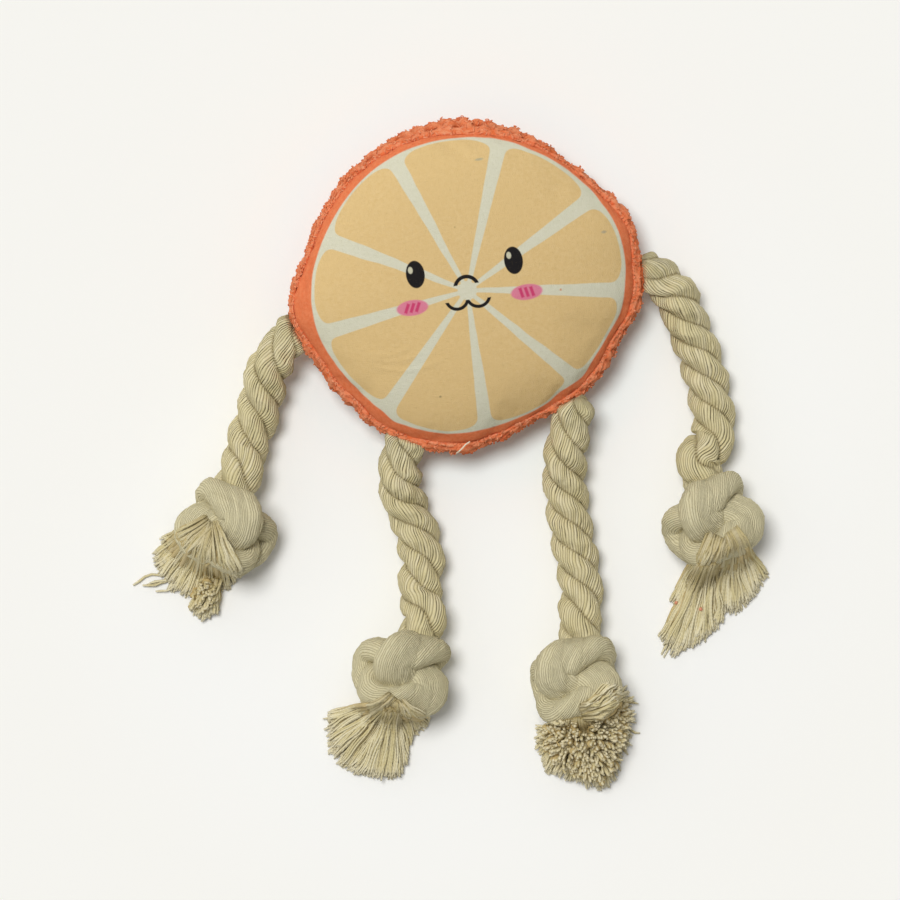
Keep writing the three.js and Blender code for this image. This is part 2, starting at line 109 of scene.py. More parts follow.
class Finish:
    """A material with one shader, built by arithmetic on its wires."""

    def __init__(self, name, roughness, sheen=0.0):
        self.material = bpy.data.materials.new(name)
        self.material.use_nodes = True
        self.tree = self.material.node_tree
        self.shader = self.tree.nodes["Principled BSDF"]
        self.shader.inputs["Roughness"].default_value = roughness
        self.shader.inputs["Sheen Weight"].default_value = sheen
        self.shader.inputs["Specular IOR Level"].default_value = 0.12

    def node(self, kind, settings, values, output=0):
        made = self.tree.nodes.new(kind)
        for key, setting in settings.items():
            setattr(made, key, setting)
        for place, value in values.items():
            socket = made.inputs[place]
            if isinstance(value, Wire):
                self.tree.links.new(value.socket, socket)
            else:
                socket.default_value = value
        return Wire(self, made.outputs[output])

    def place(self):
        """The point on the piece, in millimetres."""
        point = self.node("ShaderNodeTexCoord", {}, {}, "Object")
        return self.stretched(point, (1 / MM, 1 / MM, 1 / MM))

    def stretched(self, vector, factors):
        return self.node("ShaderNodeVectorMath", {"operation": "MULTIPLY"}, {0: vector, 1: factors})

    def parts(self, vector):
        return [self.node("ShaderNodeSeparateXYZ", {}, {0: vector}, axis) for axis in range(3)]

    def vector(self, x, y, z=0.0):
        return self.node("ShaderNodeCombineXYZ", {}, {0: x, 1: y, 2: z})

    def mark(self, name):
        """A number stored on the piece's points."""
        return self.node("ShaderNodeAttribute", {"attribute_name": name}, {}, "Fac")

    def threads(self):
        """The piece's own thread map: threads across, and millimetres along."""
        point = self.node("ShaderNodeUVMap", {"uv_map": "threads"}, {})
        return self.parts(point)[:2]

    def noise(self, vector, scale, detail=2.0, roughness=0.5):
        values = {"Vector": vector, "Scale": scale, "Detail": detail, "Roughness": roughness}
        return self.node("ShaderNodeTexNoise", {}, values)

    def cells(self, vector, scale):
        return self.node("ShaderNodeTexVoronoi", {}, {"Vector": vector, "Scale": scale})

    def mixed(self, first, second, share):
        """Two colours, each a wire or a colour code, with the second laid over the first by its share."""
        colours = [paint(colour) if isinstance(colour, str) else colour for colour in (first, second)]
        values = {0: share, 6: colours[0], 7: colours[1]}
        return self.node("ShaderNodeMix", {"data_type": "RGBA", "clamp_factor": True}, values, 2)

    def coloured(self, colour, *layers):
        """Takes a colour, with paints laid over it in turn, each with its share."""
        for code, share in layers:
            colour = self.mixed(colour, code, share)
        self.tree.links.new(colour.socket, self.shader.inputs["Base Color"])

    def roughened(self, amount):
        self.tree.links.new(amount.socket, self.shader.inputs["Roughness"])

    def raised(self, height, strength=1.0):
        """Relief from a height in millimetres."""
        values = {"Height": height * MM, "Distance": 1.0, "Strength": strength}
        bump = self.node("ShaderNodeBump", {}, values)
        self.tree.links.new(bump.socket, self.shader.inputs["Normal"])


def paint(code):
    """A colour written as on a screen, for a shader."""
    parts = []
    for place in (0, 2, 4):
        share = int(code[place:place + 2], 16) / 255
        parts.append(share / 12.92 if share <= 0.04045 else ((share + 0.055) / 1.055) ** 2.4)
    return (*parts, 1.0)


# Camera, light and floor
PHOTO_TURN = math.radians(-8.6)
AIM_X = -18.9
AIM_Y = -73.0
CAMERA_HEIGHT = 2.6
PRINT_HEIGHT = 20.0
FIELD = 414.0 * MM
SENSOR = 36.0

camera = bpy.data.objects.new("camera", bpy.data.cameras.new("camera"))
bpy.context.collection.objects.link(camera)
camera.location = (AIM_X * MM, AIM_Y * MM, CAMERA_HEIGHT)
camera.rotation_euler = (0.0, 0.0, PHOTO_TURN)
camera.data.sensor_width = SENSOR
camera.data.lens = SENSOR * (CAMERA_HEIGHT - PRINT_HEIGHT * MM) / FIELD
camera.data.clip_end = 20.0
bpy.context.scene.camera = camera

SKY_SHARE = 0.36
SKY_LEAN = SKY_SHARE * 0.6
LAMP_SHARE = 0.64
LAMP_SPREAD = math.radians(22)
LAMP_TILT = math.radians(17)
LAMP_TURN = math.radians(132) + PHOTO_TURN
BACKDROP = "F6F5F0"

lamp = bpy.data.objects.new("lamp", bpy.data.lights.new("lamp", "SUN"))
bpy.context.collection.objects.link(lamp)
lamp.data.angle = LAMP_SPREAD
lamp.data.energy = LAMP_SHARE * math.pi / math.cos(LAMP_TILT)
lampwards = (math.cos(LAMP_TURN), math.sin(LAMP_TURN), 0.0)
lean = math.sin(LAMP_TILT)
towards = Vector((lean * lampwards[0], lean * lampwards[1], math.cos(LAMP_TILT)))
lamp.rotation_euler = towards.to_track_quat("Z", "Y").to_euler()

world = bpy.data.worlds.new("studio")
bpy.context.scene.world = world
world.use_nodes = True
sky = world.node_tree
sky_light = sky.nodes["Background"]
sky_light.inputs["Color"].default_value = (1.0, 1.0, 1.0, 1.0)


def sky_node(kind, operation=None, feeds=()):
    made = sky.nodes.new(kind)
    if operation:
        made.operation = operation
    for place, feed in enumerate(feeds):
        if isinstance(feed, bpy.types.NodeSocket):
            sky.links.new(feed, made.inputs[place])
        else:
            made.inputs[place].default_value = feed
    return made.outputs


sky_way = sky_node("ShaderNodeTexCoord")["Generated"]
lamp_side = sky_node("ShaderNodeVectorMath", "DOT_PRODUCT", (sky_way, lampwards))["Value"]
sky_strength = sky_node("ShaderNodeMath", "MULTIPLY_ADD", (lamp_side, SKY_LEAN, SKY_SHARE))[0]
sky.links.new(sky_strength, sky_light.inputs["Strength"])
sky_seen = sky_node("ShaderNodeBackground", None, (paint(BACKDROP), 1.0))[0]
ray = sky_node("ShaderNodeLightPath")
seen_or_glossy = sky_node("ShaderNodeMath", "MAXIMUM", (ray["Is Camera Ray"], ray["Is Glossy Ray"]))[0]
sky_mix = sky_node("ShaderNodeMixShader", None, (seen_or_glossy, sky_light.outputs[0], sky_seen))[0]
sky.links.new(sky_mix, sky.nodes["World Output"].inputs["Surface"])
bpy.context.scene.view_settings.view_transform = "Standard"

FLOOR_SIZE = 12.0
FLOOR_DROP = 0.2
# Reach of the floor's painted light: round the toy's middle, and round its body
TOY_MIDDLE = (-18.0, -90.0)
TOY_REACH = (230.0, 120.0)
BODY_REACH = (104.0, 82.0)

bpy.ops.mesh.primitive_plane_add(size=FLOOR_SIZE, location=(0.0, 0.0, -FLOOR_DROP * MM))
floor = bpy.context.object
floor.name = "floor"
floor_finish = Finish("pale_floor", 0.95)
floor_place = floor_finish.place()
floor_x, floor_y, _ = floor_finish.parts(floor_place)
from_body = (floor_x * floor_x + floor_y * floor_y).root()
aside = floor_x - TOY_MIDDLE[0]
upward = floor_y - TOY_MIDDLE[1]
from_middle = (aside * aside + upward * upward).root()
paper_tone_and_painted_light = floor_finish.mixed(BACKDROP, "F5F4EE", floor_finish.noise(floor_place, 0.01) * 0.5)
# Painted light: the floor is lightened round the toy on the side away from the lamp, where the toy's shade
# falls, and tinted pale blue-green beside the body against the orange light the pile throws on it
toward_lamp = floor_x * lampwards[0] + floor_y * lampwards[1]
away_from_lamp = toward_lamp.ramp(70.0, 0.0)
paper_tone_and_painted_light = floor_finish.mixed(paper_tone_and_painted_light, "F7F7F4", from_middle.ramp(*TOY_REACH) * away_from_lamp)
painted_light_beside_body = floor_finish.mixed("F0F5F3", "F3F9F7", toward_lamp.ramp(50.0, -20.0))
floor_finish.coloured(floor_finish.mixed(paper_tone_and_painted_light, painted_light_beside_body, from_body.ramp(*BODY_REACH)))
floor.data.materials.append(floor_finish.material)
bpy.ops.object.select_all(action="DESELECT")


# Smooth steps and shapes
def smooth(low, high, value):
    share = np.clip((np.asarray(value, float) - low) / (high - low), 0.0, 1.0)
    return share * share * (3 - 2 * share)


def blended(first, second, share):
    return first + (second - first) * share


def way(angle):
    return math.cos(angle), math.sin(angle)


def unit(vector):
    return vector / np.linalg.norm(vector)


def headings(line):
    """The way a line runs at each of its points."""
    tangents = np.gradient(line, axis=0)
    return tangents / np.linalg.norm(tangents, axis=1)[:, None]


def lengths_along(line):
    return np.concatenate([[0.0], np.cumsum(np.linalg.norm(np.diff(line, axis=0), axis=1))])


def wobble(point, size):
    """Soft noise from -1 to 1 whose lumps are about size millimetres wide."""
    return noise.fractal(Vector(point) / size, 0.6, 2.0, 2)


def lumps_at(point, kinds):
    """Lumps of several kinds, each with its height, its width and a shift that sets it apart."""
    return sum(height * wobble(point + shift, width) for height, width, shift in kinds)


def dressed(made, name, finish):
    made.name = name
    made.data.materials.append(finish.material)
    made.data.shade_smooth()
    return made


def piece_from(name, points, faces, finish):
    mesh = bpy.data.meshes.new(name)
    mesh.from_pydata((np.asarray(points) * MM).tolist(), [], faces)
    mesh.update()
    made = bpy.data.objects.new(name, mesh)
    bpy.context.collection.objects.link(made)
    return dressed(made, name, finish)


def ring_round(middle, first, second, radius, sides):
    """Points round a place on a yarn."""
    turns = 2 * math.pi * np.arange(sides) / sides
    return [middle + radius * (first * math.cos(turn) + second * math.sin(turn)) for turn in turns]


def wall_faces(base, rings, sides):
    """Faces between the rings of a tube, ring by ring."""
    faces = []
    for here in range(base, base + (rings - 1) * sides, sides):
        there = here + sides
        for side in range(sides):
            beyond = (side + 1) % sides
            faces.append((here + side, here + beyond, there + beyond, there + side))
    return faces


def tube_faces(base, rings, sides):
    """Faces of a closed tube: its walls, then its two ends."""
    last = base + (rings - 1) * sides
    foot = tuple(base + side for side in reversed(range(sides)))
    top = tuple(last + side for side in range(sides))
    return [*wall_faces(base, rings, sides), foot, top]


def surface_of(piece):
    """A piece's faces, ready for rays."""
    points = [vertex.co.copy() for vertex in piece.data.vertices]
    return BVHTree.FromPolygons(points, [tuple(face.vertices) for face in piece.data.polygons])


def thread_map(piece, corners):
    threads = piece.data.uv_layers.new(name="threads")
    threads.data.foreach_set("uv", np.array(corners, np.float32).ravel())


def store(piece, **marks):
    """Numbers for a finish, one for each of the piece's points."""
    for name, values in marks.items():
        mark = piece.data.attributes.new(name, "FLOAT", "POINT")
        mark.data.foreach_set("value", np.asarray(values, np.float32))


# The stuffed body from above: by degrees from the right, anticlockwise, its outer radius and its pile's width
BODY = 77.0
SEAM = 23.0
CROWN = 27.0
EDGE_RADII = (
    (0, 80.8), (10, 81.4), (15, 80.9), (20, 79.2), (25, 77.4), (30, 75.6), (40, 73.3), (50, 74.1),
    (60, 74.3), (70, 75.6), (80, 76.1), (90, 76.7), (100, 76.2), (110, 76.0), (120, 75.0), (130, 75.0),
    (140, 74.5), (150, 75.1), (160, 75.7), (165, 77.0), (170, 79.6), (175, 81.6), (180, 82.7), (185, 81.9),
    (190, 80.0), (195, 78.4), (200, 77.1), (210, 77.4), (217, 75.0), (220, 75.6), (230, 77.3), (240, 77.0),
    (250, 76.7), (260, 75.9), (265, 74.8), (270, 72.5), (280, 70.2), (285, 69.2), (290, 68.8), (300, 69.8),
    (305, 71.6), (310, 72.5), (320, 73.8), (330, 73.0), (334, 74.8), (340, 77.8), (345, 79.8), (350, 80.7),
    (360, 80.8),
)
PILE_WIDTHS = (
    (0, 4.8), (10, 3.4), (20, 3.9), (30, 2.7), (40, 2.1), (50, 3.0), (60, 3.6), (70, 5.6), (80, 6.7),
    (90, 6.7), (100, 5.4), (110, 4.8), (120, 4.0), (130, 3.6), (140, 3.0), (150, 3.2), (160, 2.9),
    (170, 2.4), (180, 2.6), (190, 4.0), (200, 3.4), (210, 4.2), (220, 3.0), (230, 3.5), (240, 4.0),
    (250, 4.4), (260, 4.5), (270, 3.4), (280, 3.5), (290, 2.8), (300, 3.2), (310, 3.7), (320, 4.1),
    (330, 3.6), (340, 3.9), (350, 5.0), (360, 4.8),
)


def from_table(table, angle, soften):
    """A value round the body from a table by degrees, softened over a few degrees."""
    degrees = np.degrees(angle)
    places, values = zip(*table)
    total = 0.0
    for shift, weight in ((-soften, 0.25), (0.0, 0.5), (soften, 0.25)):
        total = total + weight * np.interp((degrees + shift) % 360, places, values)
    return total


def edge_radius(angle):
    """Radius of the toy's outer edge at an angle round it."""
    return from_table(EDGE_RADII, angle, 2.5)


def pile_width(angle):
    """How wide the pile edge shows from above."""
    return from_table(PILE_WIDTHS, angle, 4.0)


# The laid rope: three strands, each with some thirty yarns round it that run nearly straight along the rope
ROPE = 21.0
LAY = 43.0
STRAND_RADIUS = 6.4
STRAND_OUT = ROPE / 2 - STRAND_RADIUS
YARNS_ROUND_STRAND = 30
YARNS_ROUND_BAND = 53
YARN_TURN = 1.64
BAND_HALF_WIDTH = 10.0
BAND_HALF_THICKNESS = 6.6
BAND_SQUARENESS = 2.3
MOUTH_HALF_WIDTH = 8.4
MOUTH_HALF_THICKNESS = 7.4
NOSE_RADIUS = 9.6
NOSE_FLATNESS = 0.36
GROOVE_DEPTH = 0.35
TUCK_DROP = 4.2
TUCK_FLATNESS = 0.45
ROPE_LUMPS = ((0.55, 6.0, 0), (0.26, 2.4, 40))
SWELLING = 18.0
TYING = (-6.0, 12.0)
MOUTH_LENGTH = 12.0
MOUTH_CLOSING = 0.55
ROUNDING = 16.0
UNDER_EDGE = (-1.2, 1.8)
ROPE_LIFT = 0.15
BAND_START = 4.0
PLAIN_STEPS = 24
KNOT_STEPS = 420
RING_STEP = 0.9
RING_POINTS = 150

# The knot's line, as in the solids
KNOT_PITCH = 0.22 * ROPE
KNOT_STEP = 0.47 * ROPE
LEAD_REACH = 4.3
LEAD_TURN = LEAD_REACH / 3
LEAD_DROP = 2.0
LEAD_DRIFT = 0.5

# Each limb's route from the seam, and where its knot lies
ROUTES = {
    "left_arm": dict(
        points=[(-83.75, -10.58, 23.0), (-95.84, -23.6, 16.95), (-102.82, -40.62, 12.35),
                (-111.65, -57.64, 12.53), (-115.03, -67.38, 15.54), (-118.63, -73.61, 15.54)],
        knot=(-126.07, -92.61, 21.57), degrees=240, roll=160, handed=-1,
        pinch=0.40, lay_start=0.9, deeper=2.0, over=-0.2,
    ),
    "right_arm": dict(
        points=[(85.34, -6.57, 23.0), (94.19, -16.6, 16.95), (98.32, -33.35, 12.35), (101.63, -47.87, 10.9),
                (103.28, -65.57, 10.9), (101.86, -85.63, 12.58), (92.95, -95.46, 15.7),
                (94.45, -102.5, 15.7)],
        knot=(95.96, -122.8, 21.88), degrees=282, roll=203, handed=1,
        pinch=0.47, lay_start=0.2, deeper=0.0, over=-0.4,
    ),
    "left_leg": dict(
        points=[(-39.58, -68.01, 23.0), (-43.29, -79.34, 16.95), (-43.5, -92.22, 12.35),
                (-40.41, -105.09, 10.9), (-39.07, -120.54, 10.9), (-42.67, -135.99, 12.61),
                (-41.81, -146.83, 15.78), (-44.73, -153.41, 15.78)],
        knot=(-55.24, -170.8, 22.05), degrees=246, roll=205, handed=1,
        pinch=0.34, lay_start=1.6, deeper=3.0, over=1.8,
    ),
    "right_leg": dict(
        points=[(38.92, -67.41, 23.0), (34.67, -79.29, 16.95), (31.67, -92.41, 12.35),
                (30.92, -105.54, 10.9), (30.92, -119.91, 10.9), (31.42, -136.16, 10.9),
                (30.67, -149.91, 11.95), (28.31, -158.98, 13.91), (28.06, -166.17, 13.91)],
        knot=(22.67, -186.16, 18.78), degrees=268, roll=183, handed=1,
        pinch=0.34, lay_start=0.5, deeper=5.0, over=0.9,
    ),
}


def through(points, steps):
    """A curve through points whose bends are spread by the distances between them."""
    points = [np.array(point, float) for point in points]
    points = [2 * points[0] - points[1], *points, 2 * points[-1] - points[-2]]
    curve = []
    for place in range(1, len(points) - 2):
        before, here, there, after = points[place - 1:place + 3]
        gaps = [math.sqrt(np.linalg.norm(b - a)) for a, b in ((before, here), (here, there), (there, after))]
        ahead = (there - here) / gaps[1]
        leaving = (here - before) / gaps[0] - (there - before) / (gaps[0] + gaps[1]) + ahead
        arriving = ahead - (after - here) / (gaps[1] + gaps[2]) + (after - there) / gaps[2]
        leaving = leaving * gaps[1]
        arriving = arriving * gaps[1]
        for share in np.arange(steps) / steps:
            curve.append(
                here + leaving * share
                + (3 * (there - here) - 2 * leaving - arriving) * share ** 2
                + (2 * (here - there) + leaving + arriving) * share ** 3
            )
    curve.append(points[-2])
    return curve


def knot_axes(route):
    degrees = math.radians(route["degrees"])
    roll = math.radians(route["roll"])
    along = np.array([math.cos(degrees), math.sin(degrees), 0.0])
    up = np.array([0.0, 0.0, 1.0])
    out = up * math.cos(roll) + np.cross(up, along) * math.sin(roll)
    return along, out, np.cross(along, out)


def knot_line(route, steps):
    along_axis, out_axis, across_axis = knot_axes(route)
    line = []
    for turn in np.linspace(-LEAD_TURN, 2 * math.pi + LEAD_TURN, steps):
        inside = min(max(turn, 0.0), 2 * math.pi)
        lead = turn - inside
        settled = (1 - math.cos(math.pi * 3 * lead / LEAD_REACH)) / 2
        along = -math.sin(inside) + 2 * math.sin(2 * inside) + 3 * lead
        out = 2 * math.cos(2 * inside) + math.cos(inside) - LEAD_DROP * settled
        rise = math.sin(3 * inside)
        if inside < math.pi / 6:
            rise = 1 - LEAD_DRIFT * settled
        if inside > 11 * math.pi / 6:
            rise = LEAD_DRIFT * settled - 1
        line.append(
            np.array(route["knot"]) + along_axis * KNOT_PITCH * along
            + out_axis * KNOT_PITCH * out + across_axis * route["handed"] * KNOT_STEP * rise
        )
    return line


def evenly(points, step):
    points = np.array(points)
    lengths = lengths_along(points)
    count = int(round(lengths[-1] / step))
    places = np.linspace(0.0, lengths[-1], count + 1)
    return np.stack([np.interp(places, lengths, points[:, axis]) for axis in range(3)], axis=1), places


def strand_reach(swing):
    """How far a strand reaches out at an angle from its own middle, both seen from the rope's middle."""
    return STRAND_OUT * np.cos(swing) + np.sqrt(STRAND_RADIUS ** 2 - (STRAND_OUT * np.sin(swing)) ** 2)


def limb_rope(limb, finish):
    """The rope of a limb and its knot, as one length."""
    route = ROUTES[limb]
    nose = route["pinch"] * ROPE
    plain = through(route["points"], PLAIN_STEPS)
    heading = unit(plain[1] - plain[0])
    root = nose + route["deeper"]
    plain = [plain[0] - heading * root * share for share in (1.0, 0.66, 0.33)] + plain
    knotted = knot_line(route, KNOT_STEPS)
    line, places = evenly(plain + knotted[1:], RING_STEP)
    plain_length = np.sum(np.linalg.norm(np.diff(np.array(plain), axis=0), axis=1))
    total = places[-1]
    tangents = headings(line)
    across = knot_axes(route)[2]
    first = across - tangents * (tangents @ across)[:, None]
    first /= np.linalg.norm(first, axis=1)[:, None]
    second = np.cross(tangents, first)

    angles = np.linspace(0.0, 2 * math.pi, RING_POINTS, endpoint=False)
    cosines = np.cos(angles)
    sines = np.sin(angles)
    turning = -2 * math.pi / LAY
    third = 2 * math.pi / 3
    lay_start = route["lay_start"] - turning * route["deeper"]
    rings = []
    grooves = []
    tied = []
    for ring, away in enumerate(places):
        laid = angles - turning * away - lay_start
        swing = (laid + third / 2) % third - third / 2
        lobes = strand_reach(swing)
        swell = blended(max(nose, NOSE_RADIUS), ROPE / 2, smooth(0.0, SWELLING, away - root)) / (ROPE / 2)
        rope_size = lobes * swell * math.sqrt(max(0.02, 1 - max(0.0, 1 - away / nose) ** 2))
        knotting = float(smooth(plain_length + TYING[0], plain_length + TYING[1], away))
        leaving = float(smooth(total - MOUTH_LENGTH, total, away))
        half_width = blended(BAND_HALF_WIDTH, MOUTH_HALF_WIDTH, leaving)
        half_thickness = blended(BAND_HALF_THICKNESS, MOUTH_HALF_THICKNESS, leaving)
        band_size = np.abs(cosines / half_width) ** BAND_SQUARENESS
        band_size = (band_size + np.abs(sines / half_thickness) ** BAND_SQUARENESS) ** (-1 / BAND_SQUARENESS)
        strand_groove = smooth(0.80, 1.0, np.abs(swing) / (third / 2))
        band_size = band_size - GROOVE_DEPTH * strand_groove
        size = blended(rope_size, band_size, knotting)
        closing = MOUTH_CLOSING if ring == len(places) - 1 else 1.0
        offsets = closing * (first[ring] * (size * cosines)[:, None] + second[ring] * (size * sines)[:, None])
        offsets[:, 2] *= blended(NOSE_FLATNESS, 1.0, float(smooth(root, root + ROUNDING, away)))
        points = line[ring] + offsets
        for place in range(RING_POINTS):
            outward = first[ring] * cosines[place] + second[ring] * sines[place]
            points[place] += outward * lumps_at(points[place], ROPE_LUMPS)
        past_edge = np.hypot(points[:, 0], points[:, 1]) + route["over"]
        past_edge = past_edge - edge_radius(np.arctan2(points[:, 1], points[:, 0]))
        tucked = SEAM - TUCK_DROP + (points[:, 2] - line[ring][2]) * TUCK_FLATNESS
        points[:, 2] = blended(np.minimum(points[:, 2], tucked), points[:, 2], smooth(*UNDER_EDGE, past_edge))
        points[:, 2] = np.maximum(points[:, 2], ROPE_LIFT)
        rings.append(points)
        # The groove mark is coloured darker in the rope's finish, as painted shade between the strands
        grooves.append(strand_groove * blended(1.0, 0.25, knotting))
        tied.extend([knotting] * RING_POINTS)

    count = len(rings)
    vertices = np.concatenate([*rings, rings[0].mean(axis=0)[None], line[-1:]])
    faces = wall_faces(0, count, RING_POINTS)
    map_corners = []

    def rope_thread(lobe, angle, away):
        swing = np.clip(angle - turning * away - lay_start - lobe * third, -1.12, 1.12)
        reach = strand_reach(swing)
        round_strand = math.atan2(reach * math.sin(swing), reach * math.cos(swing) - STRAND_OUT)
        straight = YARN_TURN * turning * away
        drift = 0.5 * math.sin(away * 0.17 + lobe * 2.1) + 0.14 * math.sin(away * 0.61 + lobe)
        return YARNS_ROUND_STRAND * (round_strand + straight) / (2 * math.pi) + drift + 17.3 * (lobe % 7)

    def band_thread(place, away):
        return YARNS_ROUND_BAND * place / RING_POINTS + 0.16 * (away - plain_length) + 200

    switch = plain_length + BAND_START
    for ring in range(count - 1):
        for place in range(RING_POINTS):
            corners = ((place, ring), (place + 1, ring), (place + 1, ring + 1), (place, ring + 1))
            middle = 2 * math.pi * (place + 0.5) / RING_POINTS
            lobe = round((middle - turning * places[ring] - lay_start) / third)
            for side, at in corners:
                if places[ring] < switch:
                    thread = rope_thread(lobe, 2 * math.pi * side / RING_POINTS, places[at])
                else:
                    thread = band_thread(side, places[at])
                map_corners.append((thread, places[at]))
    start = count * RING_POINTS
    last = start - RING_POINTS
    for place in range(RING_POINTS):
        beyond = (place + 1) % RING_POINTS
        faces.append((start, beyond, place))
        faces.append((start + 1, last + place, last + beyond))
        map_corners.extend([(0.0, 0.0)] * 6)

    piece = piece_from(f"{limb}_laid_rope", vertices, faces, finish)
    thread_map(piece, map_corners)
    store(piece, groove=np.concatenate([*grooves, [0.0, 0.0]]), tied=tied + [0.0, 1.0])
    return piece, line, total


def cotton_rope():
    finish = Finish("laid_cotton", 0.92)
    across, along = finish.threads()
    groove = finish.mark("groove")
    tied = finish.mark("tied")
    place = finish.place()
    wander = finish.noise(finish.vector(across * 0.22, along * 0.04), 1.0, 1.0) - 0.5
    rough = finish.noise(place, 1.0, 3.0)
    thread = across + wander * 2.4 + (rough - 0.5) * tied * 0.5
    within = thread.part()
    ridge = 1 - (within * 2 - 1) ** 2
    shade = finish.noise(finish.vector(thread.whole() * 5.3, along * 0.07), 1.0, 2.0)
    gaping = finish.noise(finish.vector(across * 0.5, along * 0.10, 5.0), 1.0, 2.0).ramp(0.50, 0.68)
    gaping = gaping * (1 - tied * 0.8)
    plied = (along * 4.2 + within * 5.0).sine() * 0.5 + 0.5
    fibre = finish.noise(finish.vector(across * 2.4, along * 0.7), 1.6, 3.0)
    patch = finish.noise(place, 0.07, 2.0)
    # Painted shade: darker between the yarns, in the gaps where they gape and in the grooves between strands;
    # the ply crests on the yarns get a painted highlight
    valley = (1 - ridge).ramp(0.35, 1.0) * (1 - tied * rough.ramp(0.38, 0.65) * 0.6)
    finish.coloured(
        finish.mixed("D3C697", "E1D6B0", shade.ramp(0.32, 0.68)),
        ("D4C899", patch.ramp(0.4, 0.7) * 0.7),
        ("D3CBA8", tied * 0.8),
        # painted shade between the yarns
        ("A08F60", valley * (tied * 0.24 + 0.46)),
        ("B5A87C", rough.ramp(0.5, 0.75) * tied * 0.35),
        # painted shade in the gaps where yarns gape
        ("6B552A", valley * gaping * 0.55),
        # painted highlight on the ply crests
        ("F3ECD2", (plied * ridge).ramp(0.6, 1.0) * 0.18),
        # painted shade in the grooves between strands
        ("6F5B30", groove ** 1.5 * 0.8),
    )
    finish.roughened(0.85 + 0.12 * fibre)
    relief = ridge * (0.40 - tied * 0.12) + rough * tied * 0.18 + plied * ridge * 0.07
    relief = relief + fibre * 0.14 + shade * 0.14
    finish.raised(relief - valley * gaping * 0.5)
    return finish


rope_finish = cotton_rope()
ropes = {}
rope_lines = {}
rope_lengths = {}
for limb in LIMBS:
    ropes[limb], rope_lines[limb], rope_lengths[limb] = limb_rope(limb, rope_finish)
    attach(ropes[limb], limb)
    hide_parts(f"{limb}_rope", f"{limb}_knot")


# Frayed tassels: loose yarns that leave the knot's mouth and lie on the knot and on the ground
YARN_RADIUS = 0.48
YARNS_IN_LOCK = 4
YARN_STEPS = 12
YARN_SIDES = 5
# The deep mark thickens a yarn and colours it darker in the yarn finish, as painted shade
STANDING_DEEP = 0.22
UNDER_STANDING = (3.0, 1.8, 1.5)
UNDER_LYING = (1.5, 1.3, 0.9)


def yarns(start, aim, width, count, ends, thick=6.0, early=0.2, **more):
    """A tassel's group of yarns: where and which way it leaves the knot, how wide, and its ends' line."""
    return dict(start=start, aim=aim, width=width, count=count, ends=ends, thick=thick, early=early, **more)


